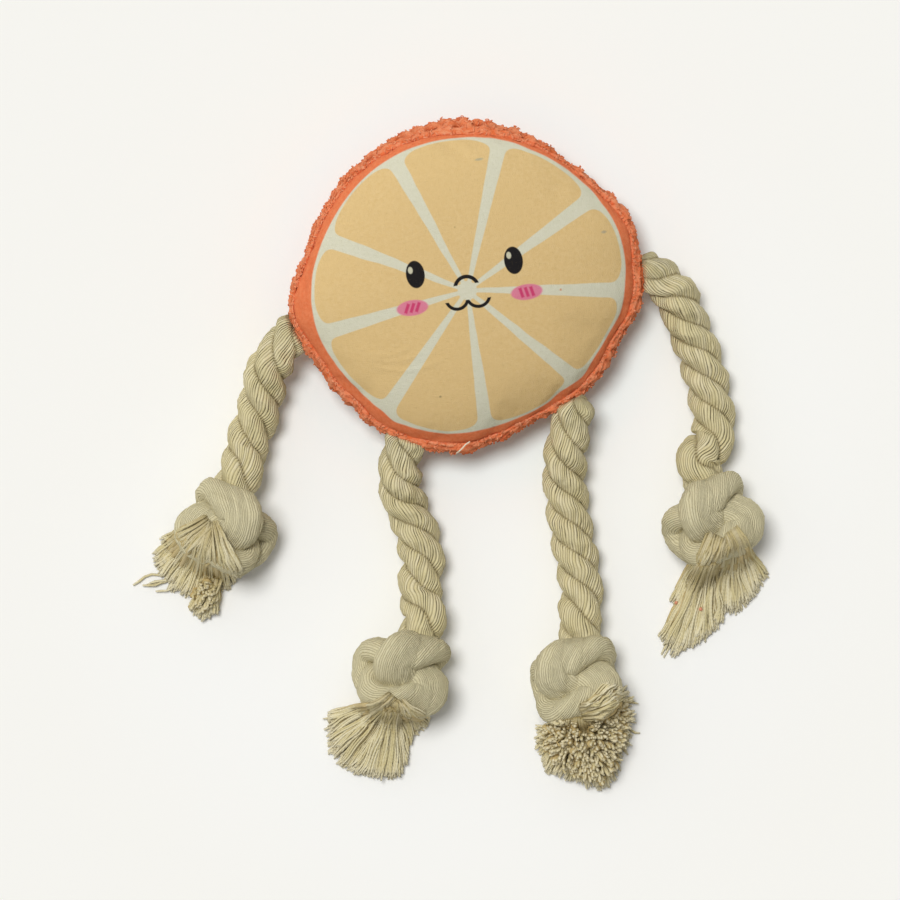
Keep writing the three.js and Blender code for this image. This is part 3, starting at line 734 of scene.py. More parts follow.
TASSELS = {
    "left_arm": [
        yarns((-135.0, -113.0), (-0.5, -0.85), 9.0, 130, [
            (-149.3, -127.8), (-144.4, -133.6), (-136.7, -131.2),
        ], thick=9.0),
        yarns((-133.5, -89.0), (-0.85, -0.45), 7.0, 150, [
            (-157.6, -94.8), (-163.0, -102.4), (-159.8, -112.2), (-155.2, -118.4),
        ], early=0.3),
        yarns((-133.0, -90.5), (-0.45, -0.85), 7.0, 150, [
            (-157.9, -117.6), (-148.7, -122.2), (-140.0, -123.1),
        ], early=0.3),
        yarns((-130.5, -90.5), (0.15, -1.0), 5.0, 90, [
            (-139.9, -123.2), (-130.1, -121.4), (-120.7, -113.7),
        ], thick=5.0, early=0.3),
        yarns((-137.0, -115.0), (-0.4, -0.9), 9.0, 70, [
            (-149.3, -124.8), (-144.4, -131.6), (-137.7, -128.2),
        ], thick=5.0, stand=13.0),
        yarns((-136.0, -108.0), (-0.8, -0.6), 7.0, 5, [
            (-172.7, -111.1), (-165.4, -118.7),
        ], thick=3.0, stray=1.8),
    ],
    "right_arm": [
        yarns((91.0, -143.0), (-0.3, -0.95), 13.0, 210, [
            (94.1, -170.6), (84.9, -177.1), (77.4, -180.8), (68.8, -182.1), (62.6, -173.5),
        ]),
        yarns((96.5, -131.5), (-0.5, -0.85), 13.0, 210, [
            (94.6, -162.8), (82.0, -161.5), (71.4, -158.3),
        ], early=0.25),
        yarns((103.0, -129.5), (0.45, -0.9), 8.0, 230, [
            (118.0, -151.0), (111.8, -160.7), (100.8, -167.4), (92.9, -165.3),
        ], early=0.25),
        yarns((92.0, -145.0), (-0.6, -0.8), 6.0, 5, [
            (60.6, -166.5), (64.0, -183.5), (92.9, -179.0),
        ], thick=3.0, stray=1.8),
    ],
    "left_leg": [
        yarns((-62.0, -187.0), (-0.2, -0.95), 11.0, 240, [
            (-91.6, -208.8), (-78.5, -217.4), (-65.1, -219.4), (-60.2, -213.0), (-56.9, -203.6),
            (-51.5, -198.6),
        ]),
        yarns((-61.0, -182.5), (-0.75, -0.6), 10.0, 420, [
            (-93.8, -185.7), (-94.6, -194.0), (-95.1, -202.4), (-91.6, -209.5), (-84.0, -215.5),
            (-73.0, -219.0), (-64.1, -219.4),
        ], thick=9.0, early=0.25),
        yarns((-58.0, -184.0), (0.35, -0.9), 5.0, 70, [
            (-45.6, -193.6), (-48.0, -198.8), (-57.3, -201.5), (-65.3, -203.5),
        ], thick=5.0, early=0.35),
    ],
    "right_leg": [
        yarns((21.0, -204.0), (0.1, -1.0), 16.0, 300, [
            (42.0, -219.0), (37.5, -230.0), (33.0, -237.0), (28.0, -240.0), (19.0, -236.0), (11.5, -231.5),
            (3.4, -228.0), (-0.5, -216.0), (1.0, -206.0),
        ], thick=10.0, early=0.3),
        yarns((24.0, -203.0), (0.7, 0.1), 13.0, 230, [
            (36.0, -189.0), (42.5, -190.5), (48.5, -199.0), (47.0, -209.0), (42.0, -221.0),
        ], thick=12.0, early=0.4, rise=6.0, ragged=0.5),
        yarns((23.0, -206.0), (0.2, -0.95), 15.0, 760, [
            (40.0, -193.0), (45.0, -199.0), (46.0, -209.0), (41.0, -222.0), (34.0, -233.0), (28.0, -236.0),
            (19.0, -233.0), (8.0, -228.0), (1.0, -218.0), (2.0, -207.0), (9.0, -203.0),
        ], stand=31.0),
        yarns((27.0, -203.0), (0.7, -0.3), 9.0, 9, [
            (43.5, -190.0), (50.0, -199.5), (50.0, -214.4), (43.0, -226.0),
        ], thick=9.0, stray=1.2),
    ],
}


def along_outline(outline, share):
    outline = np.array(outline, float)
    lengths = lengths_along(outline)
    at = share * lengths[-1]
    return np.array([np.interp(at, lengths, outline[:, axis]) for axis in range(2)])


def ground_under(tree, x, y):
    """Height of the knot's top at a place, or of the ground where there is no knot."""
    hit = tree.ray_cast(Vector((x * MM, y * MM, 0.1)), Vector((0.0, 0.0, -1.0)))
    if hit[0] is None:
        return 0.2
    return max(0.2, hit[0].z / MM)


def yarn_paths(limb, tree, chance):
    """Middle lines of a tassel's yarns, which lie in locks of a few, with each one's shade and depth."""
    paths = []
    for group in TASSELS[limb]:
        start = np.array(group["start"])
        aim = unit(np.array(group["aim"]))
        stand = group.get("stand", 0.0)
        stray = group.get("stray", 0.0)
        rise = group.get("rise", 0.0)
        beside = np.array([-aim[1], aim[0]])
        toward_ends = along_outline(group["ends"], 1.0) - along_outline(group["ends"], 0.0)
        order = 1.0 if toward_ends @ beside > 0 else -1.0
        in_lock = 1 if stray else YARNS_IN_LOCK
        locks = max(1, round(group["count"] / in_lock))
        for number in range(locks):
            lock_spot = (number + chance.random()) / locks
            lock_layer = chance.random()
            lock_cut = group.get("ragged", 0.10) * chance.random() ** 1.6
            lock_reach = chance.random()
            lock_lean = chance.gauss(0.0, 1.3)
            lock_phase = chance.uniform(0, 2 * math.pi)
            lock_wave = chance.uniform(0.1, 0.7) * (stray or 1.0)
            waves = chance.uniform(1.0, 2.4)
            lock_shade = chance.random()
            for _ in range(in_lock):
                spot = min(1.0, max(0.0, lock_spot + chance.gauss(0.0, 0.9) / locks))
                layer = min(1.0, max(0.0, lock_layer + chance.gauss(0.0, 0.07)))
                end = along_outline(group["ends"], spot)
                cut = 1.03 - lock_cut - 0.04 * layer - 0.04 * chance.random()
                if stand:
                    cut = chance.uniform(0.12, 1.0) ** 0.75
                end = start + (end - start) * cut
                end += np.array([chance.gauss(0.0, 0.6), chance.gauss(0.0, 0.6)])
                foot = start + beside * order * (spot - 0.5) * group["width"] * (0.7 + 0.3 * chance.random())
                foot += aim * chance.uniform(-1.5, 1.0)
                if stand:
                    foot = blended(foot, end, chance.uniform(0.3, 0.75))
                reach = np.linalg.norm(end - foot)
                straight = (end - foot) / max(reach, 0.001)
                leave = foot + (0.65 * aim + 0.35 * straight) * reach * (0.30 + 0.12 * lock_reach)
                arrive = end - straight * reach * 0.30 + beside * (lock_lean + chance.gauss(0.0, 0.35))
                phase = lock_phase + chance.gauss(0.0, 0.3)
                wave = lock_wave * chance.uniform(0.8, 1.2)
                path = []
                heights = []
                for share in np.linspace(0.0, 1.0, YARN_STEPS):
                    left = 1 - share
                    flat = left ** 3 * foot + 3 * left ** 2 * share * leave
                    flat = flat + 3 * left * share ** 2 * arrive + share ** 3 * end
                    sway = wave * math.sin(phase + waves * 2 * math.pi * share) * smooth(0.0, 0.3, share)
                    flat = flat + np.array([-straight[1], straight[0]]) * sway
                    lying = ground_under(tree, flat[0], flat[1]) + YARN_RADIUS
                    bunch = group["thick"] * (0.75 + 0.35 * math.sin(math.pi * min(1.0, share * 1.15)))
                    lying += layer * bunch * (1 - 0.35 * share) + 0.3 * math.sin(phase + 5 * share)
                    lying += rise * share * share * layer * (0.4 + 0.6 * abs(math.sin(phase)))
                    own = ground_under(tree, foot[0], foot[1]) - 1.2 + layer * 3.0
                    if stand:
                        tall = (stand - 4.0) * (0.65 + 0.35 * layer) * (1.1 - 0.75 * cut * cut)
                        lying = max(lying, 4.0 + tall * math.sin(1.5 * share) + 1.6 * layer)
                    heights.append(float(blended(own, lying, smooth(0.0, group["early"], share))))
                    path.append(flat)
                heights = np.array(heights)
                for _ in range(2):
                    heights[1:-1] = (heights[:-2] + 2 * heights[1:-1] + heights[2:]) / 4
                heights = np.maximum(heights, YARN_RADIUS + 0.15)
                shade = 0.45 * lock_shade + 0.55 * chance.random()
                yarn = np.column_stack([np.array(path), heights])
                paths.append((yarn, shade, STANDING_DEEP if stand else 0.0))
            # Under-yarns lie beneath each lock; their deep mark colours them darker, as painted shade
            if in_lock > 1:
                under = yarn if stand else yarn[4:-2]
                drop, least, deep = UNDER_STANDING if stand else UNDER_LYING
                under = under - (0.0, 0.0, drop)
                under[:, 2] = np.maximum(under[:, 2], least)
                paths.append((under, lock_shade, deep))
    return paths


def tassel(limb, tree, finish):
    chance = random.Random(f"{limb} yarns")
    vertices = []
    faces = []
    corners = []
    shades = []
    tips = []
    depths = []
    for path, shade, deep in yarn_paths(limb, tree, chance):
        base = len(vertices)
        tangents = headings(path)
        thick = YARN_RADIUS * chance.uniform(0.85, 1.25) * (1 + 1.5 * deep)
        lengths = lengths_along(path)
        for ring in range(len(path)):
            side = np.cross(tangents[ring], (0.0, 0.0, 1.0))
            if np.linalg.norm(side) < 0.2:
                side = np.cross(tangents[ring], (1.0, 0.0, 0.0))
            side = unit(side)
            over = np.cross(side, tangents[ring])
            share = ring / (len(path) - 1)
            size = thick * (1.0 + 0.12 * smooth(0.82, 0.97, share) - 0.35 * (share == 1.0))
            vertices.extend(ring_round(path[ring], side, over, size, YARN_SIDES))
            shades.extend([shade] * YARN_SIDES)
            tips.extend([share] * YARN_SIDES)
            depths.extend([deep] * YARN_SIDES)
        faces.extend(tube_faces(base, len(path), YARN_SIDES))
        for ring in range(len(path) - 1):
            for place in range(YARN_SIDES):
                for turn, at in ((place, ring), (place + 1, ring), (place + 1, ring + 1), (place, ring + 1)):
                    corners.append((turn / YARN_SIDES, lengths[at]))
        corners.extend([(0.5, 0.0)] * YARN_SIDES)
        corners.extend([(0.5, lengths[-1])] * YARN_SIDES)
    piece = piece_from(f"{limb}_frayed_yarns", vertices, faces, finish)
    thread_map(piece, corners)
    store(piece, shade=shades, tip=tips, deep=depths)
    return piece


def loose_yarn():
    finish = Finish("loose_yarn", 0.93)
    around, along = finish.threads()
    shade = finish.mark("shade")
    tip = finish.mark("tip")
    deep = finish.mark("deep")
    place = finish.place()
    plied = (along * 3.6 + around * 6.2832).sine() * 0.5 + 0.5
    fibre = finish.noise(finish.vector(around * 6.0, along * 0.8, shade * 40), 1.5, 3.0)
    upper = (around * 6.2832).sine()
    # Painted shade: yarns darker on their undersides, towards their roots at the knot, in the ply troughs and
    # where they lie deep in the tassel
    finish.coloured(
        finish.mixed("D0C496", "E3DAB8", shade.ramp(0.15, 0.85)),
        ("CDBC86", finish.noise(place, 0.12, 2.0).ramp(0.55, 0.75) * 0.4),
        # painted shade in the ply troughs
        ("B9A672", (1 - plied).ramp(0.6, 1.0) * 0.12),
        # painted shade on the yarns' undersides
        ("8E7A46", upper.ramp(0.75, -0.1) * deep.ramp(0.55, 0.0) * 0.66),
        # painted shade towards the roots at the knot
        ("9C8752", tip.ramp(0.5, 0.1) * 0.42),
        ("EBE3C8", tip.ramp(0.88, 1.0) * 0.5),
        # painted shade on yarns that lie deep in the tassel
        ("C4AE79", deep * 0.75),
    )
    finish.roughened(0.86 + 0.12 * fibre)
    finish.raised(plied * 0.08 + fibre * 0.10)
    return finish


yarn_finish = loose_yarn()
tassels = {}
for limb in LIMBS:
    tassels[limb] = tassel(limb, surface_of(ropes[limb]), yarn_finish)
    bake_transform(tassels[limb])
    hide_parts(f"{limb}_tassel")


# Two bits of orange lint caught in the right arm's tassel
tassel_top = surface_of(tassels["right_arm"])


def lint(number, middle, radius):
    bpy.ops.mesh.primitive_ico_sphere_add(subdivisions=3, radius=radius * MM)
    made = bpy.context.object
    height = ground_under(tassel_top, *middle) + 0.3 * radius
    for vertex in made.data.vertices:
        rough = 1 + 0.45 * wobble(vertex.co / MM + Vector((number * 9.0, 0.0, 0.0)), 0.7)
        vertex.co = vertex.co * rough + Vector((*middle, height)) * MM
    finish = Finish("orange_lint", 0.95)
    fuzz = finish.noise(finish.place(), 2.2, 3.0)
    finish.coloured(finish.mixed("D98C68", "F0AD90", fuzz.ramp(0.35, 0.65)))
    finish.raised(fuzz * 0.3)
    dressed(made, f"lint_{number}", finish)
    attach(made, "right_arm_end")


lint(1, (74.0, -158.6), 0.7)
lint(2, (84.7, -163.1), 0.8)


# The stuffed body
COVER_OVERLAP = 1.8
BACK_LIFT = 0.25
BACK_DEPTH = SEAM + 0.5


def cover_radius(angle):
    """How far the covers reach under the pile edge."""
    return edge_radius(angle) - pile_width(angle) + COVER_OVERLAP


def front_height(share):
    """Height of the crowned front at a share of the way out to its seam."""
    return SEAM + CROWN * (1 - share ** 2.4) ** 0.58


def back_height(share):
    """Height of the back, which is flat where the toy lies on it."""
    return max(BACK_LIFT, SEAM - BACK_DEPTH * (1 - share ** 3.2) ** 0.55)


def dome(name, height_at, base, finish, rings=40, sides=150):
    """A crowned closed form on a flat base, from a ball drawn into the body's outline."""
    bpy.ops.mesh.primitive_uv_sphere_add(segments=sides, ring_count=rings, radius=1.0)
    made = bpy.context.object
    for vertex in made.data.vertices:
        x, y, z = vertex.co
        share = min(1.0, math.hypot(x, y))
        angle = math.atan2(y, x)
        reach = cover_radius(angle) * share
        domed = height_at(share) if (z >= 0) == (height_at(0.0) > base) else base
        vertex.co = (reach * math.cos(angle) * MM, reach * math.sin(angle) * MM, domed * MM)
    return dressed(made, name, finish)


def kept(piece, modifier):
    """Makes a modifier's result the piece's own shape."""
    bpy.ops.object.select_all(action="DESELECT")
    piece.select_set(True)
    bpy.context.view_layer.objects.active = piece
    bpy.ops.object.modifier_apply(modifier=modifier.name)


def applied(piece, kind, **settings):
    modifier = piece.modifiers.new(kind.lower(), kind)
    for key, setting in settings.items():
        setattr(modifier, key, setting)
    kept(piece, modifier)


PRINT_MIDDLE = (0.0, -1.6)
MEMBRANE_DEGREES = (110.7, 69.2, 27.9, -8.4, -47.7, -90.9, -132.8, -172.1, 151.3)
PRINT_EDGE = ((0.28, 3.15), (2.34, 1.28), (0.80, 0.31), (0.70, -0.09), (-0.21, 0.27), (0.43, 0.17))
PRINT_DENTS = ((-128, 5, 1.2), (-57, 4, -0.8), (-45, 5, 1.1), (-16, 6, 1.1))
PRINT_RADIUS = 69.3
CHEEKS = ((-26.2, -5.8, 64), (26.9, -6.4, 101))
CHEEK_SIZE = (7.3, 3.6)
EYE_SIZE = (4.3, 6.35)
GLINT_SIZE = (1.1, 1.6)
PRINT_SPECKS = (
    ("A9A98F", 14.3, 57.2, 2.0, 0.6), ("ACA28A", 66.1, 15.6, 1.2, 0.7), ("D07A45", 42.5, -7.7, 0.55, 0.55),
    ("8C7A55", -19.6, -48.1, 0.6, 0.5), ("A98F5C", -1.4, 28.0, 0.35, 0.35),
)
CLOTH_FOLDS = (
    (-40.0, -10.0, 16.0, -2.4, -0.9), (-36.0, -2.0, 27.0, -2.2, -1.1), (-30.0, 4.0, 38.0, -2.1, -1.2),
)
CROWN_SPREAD = 0.00039


def printed_cloth():
    finish = Finish("printed_cloth", 0.92)
    place = finish.place()
    x, y, z = finish.parts(place)
    spread = (z - PRINT_HEIGHT) * CROWN_SPREAD + 1.0
    x = (x - AIM_X) * spread + AIM_X
    y = (y - AIM_Y) * spread + AIM_Y
    waver = finish.noise(place, 0.09, 1.0) - 0.5
    across = x - PRINT_MIDDLE[0] + waver * 0.8
    rise = y - PRINT_MIDDLE[1] + waver * 0.8
    reach = (across * across + rise * rise).root()
    turn = rise.bearing(across)
    edge = PRINT_RADIUS
    for number, (along_cosine, along_sine) in enumerate(PRINT_EDGE, 1):
        swing = turn * float(number)
        edge = swing.cosine() * along_cosine + swing.sine() * along_sine + edge
    for degrees, wide, deep in PRINT_DENTS:
        beside = (turn - math.radians(degrees)) / math.radians(wide)
        edge = (-(beside * beside)).exponential() * deep + edge

    pith = 4.3 - reach
    for degrees in MEMBRANE_DEGREES:
        cosine, sine = way(math.radians(degrees))
        outwards = across * cosine + rise * sine
        aside = abs(rise * cosine - across * sine)
        strip = (outwards * 0.042 + 0.75 - aside).least(outwards + 1.0)
        pith = pith.soft_most(strip, 0.9)
    corners = (pith * 0.28).exponential() * 3.2
    ring = reach - edge + 1.25 + (turn * 2.0 - 0.87).cosine() * 0.45 + corners
    pith = pith.soft_most(ring, 3.0)

    cloth = finish.noise(place, 0.55, 4.0, 0.7)
    tone = finish.noise(place, 0.035, 2.0)
    flecked = cloth.ramp(0.3, 0.7)
    segment = finish.mixed("E1C084", "E7C88F", flecked)
    segment = finish.mixed(segment, "E4C489", tone.ramp(0.35, 0.65) * 0.6)
    pale = finish.mixed("DBD8BE", "DFDCC5", flecked)
    colour = finish.mixed(segment, pale, pith.ramp(-0.3, 0.3))
    margin = finish.mixed("E8784A", "F08A5C", flecked)
    colour = finish.mixed(colour, margin, (reach - edge).ramp(-0.35, 0.35))

    def distance(middle_x, middle_y, wide=1.0, tall=1.0):
        sideways = (x - middle_x) / wide
        upwards = (y - middle_y) / tall
        return (sideways * sideways + upwards * upwards).root()

    def oval(middle_x, middle_y, wide, tall):
        return (1 - distance(middle_x, middle_y, wide, tall)) * min(wide, tall)

    def arc(middle_x, middle_y, radius, half_width, side, limit):
        bow = half_width - abs(distance(middle_x, middle_y) - radius)
        return bow.least((y - limit) * side)

    def dash(middle_x, middle_y, degrees, half_length, half_width):
        cosine, sine = way(math.radians(degrees))
        lengthwise = (x - middle_x) * cosine + (y - middle_y) * sine
        sideways = (y - middle_y) * cosine - (x - middle_x) * sine
        return (half_width - abs(sideways)).least(half_length - abs(lengthwise))

    for cheek_x, cheek_y, degrees in CHEEKS:
        cheek = oval(cheek_x, cheek_y, *CHEEK_SIZE)
        colour = finish.mixed(colour, "E27F9A", cheek.ramp(-0.35, 0.35) * 0.95)
        for step in (-2.5, 0.0, 2.5):
            stroke = dash(cheek_x + step, cheek_y, degrees, 2.3, 0.72)
            colour = finish.mixed(colour, "D03A6C", stroke.ramp(-0.35, 0.35) * 0.9)
    nose = arc(-0.15, -0.5, 5.3, 0.86, 1.0, 1.2)
    mouth = arc(-5.35, -4.5, 5.0, 0.76, -1.0, -5.9).most(arc(4.55, -4.35, 5.3, 0.76, -1.0, -6.2))
    eyes = oval(-22.6, 9.2, *EYE_SIZE).most(oval(23.0, 8.9, *EYE_SIZE))
    drawn = nose.most(mouth).most(eyes)
    colour = finish.mixed(colour, "1F1D1E", drawn.ramp(-0.22, 0.22))
    glints = oval(-24.6, 11.4, *GLINT_SIZE).most(oval(21.2, 11.5, *GLINT_SIZE))
    colour = finish.mixed(colour, "CFCBB0", glints.ramp(-0.25, 0.25))

    for shade, *spot in PRINT_SPECKS:
        speck = oval(*spot)
        colour = finish.mixed(colour, shade, speck.ramp(-0.25, 0.35) * 0.7)

    weave = (x * 8.6).sine() * (y * 8.6).sine()
    warp = finish.noise(finish.vector(x * 0.3, y * 2.4), 1.0, 2.0)
    weft = finish.noise(finish.vector(x * 2.4, y * 0.3, 7.0), 1.0, 2.0)
    grain = weave * 0.10 + warp * 0.22 + weft * 0.22 + cloth * 0.25
    colour = finish.mixed(colour, "8C7A4E", (warp * weft).ramp(0.20, 0.06) * 0.18)
    folds = 0.0
    for middle_x, middle_y, radius, lower, upper in CLOTH_FOLDS:
        bow = distance(middle_x, middle_y) - radius
        swing = (y - middle_y).bearing(x - middle_x)
        there = swing.ramp(lower - 0.3, lower + 0.3) * swing.ramp(upper + 0.3, upper - 0.3)
        folds = (-(bow * bow) * 0.6).exponential() * there * 0.25 + folds
    finish.coloured(colour)
    finish.roughened(0.84 + 0.12 * cloth)
    finish.raised(grain + folds)
    return finish


CLOTH_MESH = 3.6
FILLING_FRAMES = 20
FILLING = dict(
    quality=6, mass=0.25, tension_stiffness=18, compression_stiffness=18, bending_stiffness=0.6,
    shrink_min=-0.015, use_pressure=True, uniform_pressure_force=4.0, vertex_group_mass="held",
)


def stuffed(piece, held_up_to, limit):
    """Fills a closed form like a sewn cushion, with its seam and its flat side held."""
    applied(piece, "REMESH", mode="VOXEL", voxel_size=CLOTH_MESH * MM)
    before = np.array([vertex.co for vertex in piece.data.vertices])
    held = piece.vertex_groups.new(name="held")
    fixed = [v.index for v in piece.data.vertices if 0.0 < v.co.z / MM < held_up_to]
    held.add(fixed, 1.0, "ADD")
    cloth = piece.modifiers.new("filled", "CLOTH")
    for key, setting in FILLING.items():
        setattr(cloth.settings, key, setting)
    cloth.settings.effector_weights.gravity = 0.0
    cloth.collision_settings.use_self_collision = False
    cloth.point_cache.frame_start = 1
    cloth.point_cache.frame_end = FILLING_FRAMES
    for number in range(1, FILLING_FRAMES + 1):
        bpy.context.scene.frame_set(number)
    kept(piece, cloth)
    bpy.context.scene.frame_set(1)
    for vertex, old in zip(piece.data.vertices, before):
        moved = np.array(vertex.co) - old
        far = np.linalg.norm(moved)
        if far > limit * MM:
            vertex.co = old + moved * (limit * MM / far)
    piece.vertex_groups.clear()
    applied(piece, "SUBSURF", levels=2, render_levels=2)


cover = dome("printed_cover", front_height, SEAM + 0.2, printed_cloth())
stuffed(cover, SEAM + 2.5, 3.0)
cover.data.shade_smooth()
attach(cover, "toy_body")
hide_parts("front_panel")


def orange_pile():
    finish = Finish("orange_pile", 0.95)
    place = finish.place()
    tuft = finish.mark("tuft")
    slit = finish.mark("slit")
    loops = finish.cells(place, 1.3)
    fuzz = finish.noise(place, 1.6, 4.0, 0.7)
    patch = finish.noise(place, 0.12, 2.0)
    # Painted highlight and shade: raised lumps lighter and low ones darker by the tuft mark, mixed with
    # random fuzz tone; cell borders between the loops, the slits and creases darker
    finish.coloured(
        finish.mixed("DF6B38", "F3AC84", (fuzz * 0.5 + tuft * 0.5).ramp(0.30, 0.78)),
        ("EE8958", patch.ramp(0.35, 0.7) * 0.4),
        # painted shade at the cell borders between loops
        ("C95A2A", loops.ramp(0.6, 1.0) * 0.25),
        # painted shade in the slits and creases
        ("A03D14", slit * 0.85),
    )
    finish.raised((1 - loops) * 0.15 + fuzz * 0.35)
    return finish


pile_finish = orange_pile()
PILE_AROUND = 1150
PILE_OVER = 46
PILE_LUMPS = ((0.62, 3.0, 0), (0.34, 1.6, 30))
BACK_LUMPS = ((0.5, 3.0, 0), (0.35, 1.4, 50))
CREASE = 0.55
TUFT_DEGREES = (2.8, 6.8)
TUFT_SIZES = (0.65, 1.25)


def pile_edge():
    """The pile strip round the seam, from a ring drawn to the outline, with scalloped tufts and slits."""
    bpy.ops.mesh.primitive_torus_add(
        major_segments=PILE_AROUND, minor_segments=PILE_OVER, major_radius=1.0, minor_radius=0.25,
    )
    made = bpy.context.object
    chance = random.Random("pile tufts")
    bounds = [0.0]
    while bounds[-1] < 2 * math.pi:
        bounds.append(bounds[-1] + math.radians(chance.uniform(*TUFT_DEGREES)))
    bounds = np.array(bounds) * (2 * math.pi / bounds[-1])
    sizes = [chance.uniform(*TUFT_SIZES) for _ in bounds]
    tufts = []
    slits = []
    for vertex in made.data.vertices:
        x, y, z = vertex.co
        angle = math.atan2(y, x) % (2 * math.pi)
        section = math.atan2(z, math.hypot(x, y) - 1.0)
        east, north = way(angle)
        facing, lifted = way(section)
        slanted = (angle + 0.045 * lifted) % (2 * math.pi)
        cell = int(np.searchsorted(bounds, slanted, side="right")) - 1
        cell = min(max(cell, 0), len(bounds) - 2)
        share = (slanted - bounds[cell]) / (bounds[cell + 1] - bounds[cell])
        scallop = math.sin(math.pi * share ** 0.75) ** 0.6 * sizes[cell]
        outer = smooth(-0.4, 0.6, facing)
        top = smooth(0.1, 0.9, lifted)
        seam = math.exp(-((section - 1.15 - 0.25 * math.sin(9 * angle)) / 0.17) ** 2)
        dashed = smooth(0.05, 0.35, math.sin(slanted * 37 + 2 * math.sin(angle * 5)))
        slit = seam * dashed * (0.45 + 0.55 * smooth(0.15, 0.9, north))
        crease = math.exp(-((min(share, 1 - share) * (bounds[cell + 1] - bounds[cell]) * BODY) / CREASE) ** 2)
        half_wide = pile_width(angle) / 2 + 0.15
        half_tall = blended(7.2, 3.4, float(smooth(-0.2, 0.5, lifted)))
        middle = edge_radius(angle) + 0.1 - half_wide
        lean = 0.85 * half_wide * float(smooth(-0.4, 0.3, lifted))
        reach = middle + half_wide * facing
        point = np.array([reach * east, reach * north, SEAM + 0.3 + half_tall * lifted - lean * facing])
        lumps = lumps_at(point, PILE_LUMPS)
        height = lumps + scallop * (0.2 + 2.2 * outer) - 1.3 - 1.3 * slit - 0.5 * crease * (0.2 + 0.8 * outer)
        inward = 0.25 + 0.75 * outer + 0.35 * top
        outward = np.array([facing * east, facing * north, lifted])
        vertex.co = (point + outward * height * min(1.0, inward)) * MM
        # The tuft mark carries lump height, which the pile finish turns into painted highlight and shade; the
        # slit mark carries painted shade in slits and creases
        tufts.append(0.5 + 0.5 * lumps)
        slits.append(min(1.0, max(slit, 0.6 * crease * outer)))
    store(made, tuft=tufts, slit=slits)
    return dressed(made, "pile_edge", pile_finish)


edge = pile_edge()
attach(edge, "toy_body")
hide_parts("rim_trim")

LOOPS = 1700
LOOP_RADIUS = 0.27
LOOP_SIDES = 5
LOOP_BOWS = ((-1.0, 0.1), (-0.75, 0.75), (0.0, 1.0), (0.75, 0.75), (1.0, 0.1))


def pile_loops():
    """Short loops of yarn that stand on the pile edge."""
    chance = random.Random("pile loops")
    mesh = edge.data
    spots = [vertex for vertex in mesh.vertices if vertex.normal.z > -0.45 and vertex.co.z > SEAM * MM * 0.8]
    vertices = []
    faces = []
    tufts = []
    for spot in chance.sample(spots, LOOPS):
        normal = np.array(spot.normal)
        point = np.array(spot.co) / MM
        lean = np.array([chance.gauss(0, 1) for _ in range(3)])
        across = unit(np.cross(normal, lean))
        beside = np.cross(normal, across)
        half = chance.uniform(0.45, 0.95)
        tall = chance.uniform(0.0, 0.22) + 0.3 * max(0.0, normal[2])
        tip = beside * chance.gauss(0.0, 0.35)
        line = [point + across * half * along + (normal * tall + tip) * rise for along, rise in LOOP_BOWS]
        shade = min(1.0, max(0.0, chance.gauss(0.62, 0.2)))
        base = len(vertices)
        for place, middle in enumerate(line):
            before = line[max(place - 1, 0)]
            after = line[min(place + 1, len(line) - 1)]
            heading = unit(after - before)
            first = unit(np.cross(heading, beside))
            second = np.cross(heading, first)
            vertices.extend(ring_round(middle, first, second, LOOP_RADIUS, LOOP_SIDES))
            tufts.extend([shade] * LOOP_SIDES)
        faces.extend(tube_faces(base, len(line), LOOP_SIDES))
    made = piece_from("pile_loops", vertices, faces, pile_finish)
    store(made, tuft=tufts, slit=[0.0] * len(tufts))
    return made


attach(pile_loops(), "toy_body")


def back_cover():
    made = dome("back_cover", back_height, SEAM - 0.2, pile_finish, rings=220, sides=330)
    tufts = []
    mesh = made.data
    mesh.update()
    normals = [Vector(vertex.normal) for vertex in mesh.vertices]
    for vertex, normal in zip(mesh.vertices, normals):
        point = np.array(vertex.co) / MM
        lumps = lumps_at(point, BACK_LUMPS)
        if normal.z < 0.5:
            vertex.co = vertex.co + normal * (lumps * 0.6 * MM)
            vertex.co.z = max(vertex.co.z, 0.05 * MM)
        # The tuft mark carries lump height, which the pile finish turns into painted highlight and shade
        tufts.append(0.5 + 0.5 * lumps)
    store(made, tuft=tufts, slit=[0.0] * len(tufts))
    return made


back = back_cover()
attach(back, "toy_body")
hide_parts("back_panel")


# A stray end of sewing thread that lies over the pile edge
STRAY_POINTS = (
    (-9.4, -70.6, 31.0), (-11.5, -71.6, 32.3), (-13.4, -73.2, 31.6), (-15.2, -74.4, 28.9),
    (-16.2, -74.9, 26.6),
)
STRAY_RADIUS = 0.32


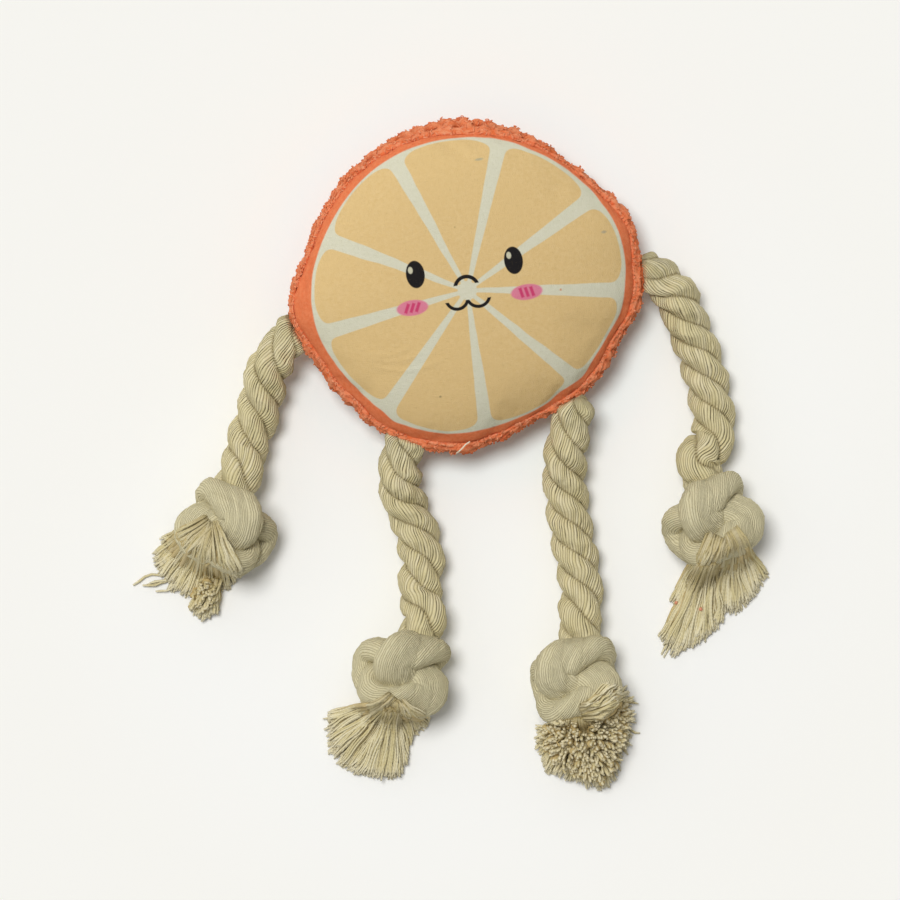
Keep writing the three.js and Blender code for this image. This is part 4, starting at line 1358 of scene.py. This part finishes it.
def stray_thread():
    line = bpy.data.curves.new("stray_thread", "CURVE")
    line.dimensions = "3D"
    spline = line.splines.new("POLY")
    spline.points.add(len(STRAY_POINTS) - 1)
    for place, point in enumerate(STRAY_POINTS):
        spline.points[place].co = (*(value * MM for value in point), 1.0)
    line.bevel_depth = STRAY_RADIUS * MM
    line.bevel_resolution = 2
    line.use_fill_caps = True
    bent = bpy.data.objects.new("stray_bent", line)
    bpy.context.collection.objects.link(bent)
    made = bpy.data.objects.new("stray_thread", bpy.data.meshes.new_from_object(bent))
    bpy.data.objects.remove(bent)
    bpy.context.collection.objects.link(made)
    finish = Finish("sewing_thread", 0.7)
    place = finish.place()
    finish.coloured(finish.mixed("E9DFC0", "F7F1DE", finish.noise(place, 2.0)))
    finish.raised(finish.noise(place, 3.0), 0.4)
    made.data.materials.clear()
    made.data.materials.append(finish.material)
    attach(made, "toy_body")


stray_thread()


# Inside pieces keep their solids and get their own finishes
def fibre_finish():
    finish = Finish("loose_fibre", 1.0, 0.3)
    place = finish.place()
    strands = finish.noise(finish.stretched(place, (0.3, 1.0, 0.6)), 0.6, 6.0, 0.7)
    lumps = finish.noise(place, 0.08, 3.0)
    colour = finish.mixed("DAD8D0", "F6F4EE", strands.ramp(0.3, 0.7))
    finish.coloured(finish.mixed(colour, "E9E7DF", lumps.ramp(0.4, 0.6)))
    finish.raised(strands * 0.8 + lumps * 2.0)
    return finish


def moulded_plastic():
    finish = Finish("moulded_plastic", 0.45)
    place = finish.place()
    cloudy = finish.noise(place, 0.15, 3.0)
    grain = finish.noise(place, 3.0, 2.0)
    finish.coloured(finish.mixed("DDD7C2", "EAE6D6", cloudy.ramp(0.3, 0.7)))
    finish.roughened(0.38 + 0.16 * grain)
    finish.raised(grain * 0.05)
    return finish


def refinished(node, finish):
    solid = bpy.data.objects[node]
    for slot in solid.material_slots:
        slot.material = finish.material
    if not solid.material_slots:
        solid.data.materials.append(finish.material)


inner_fibre = fibre_finish()
inner_plastic = moulded_plastic()
for node in ("front_stuffing", "back_stuffing"):
    refinished(node, inner_fibre)
for node in ("squeaker_bulb", "squeaker_reed"):
    refinished(node, inner_plastic)
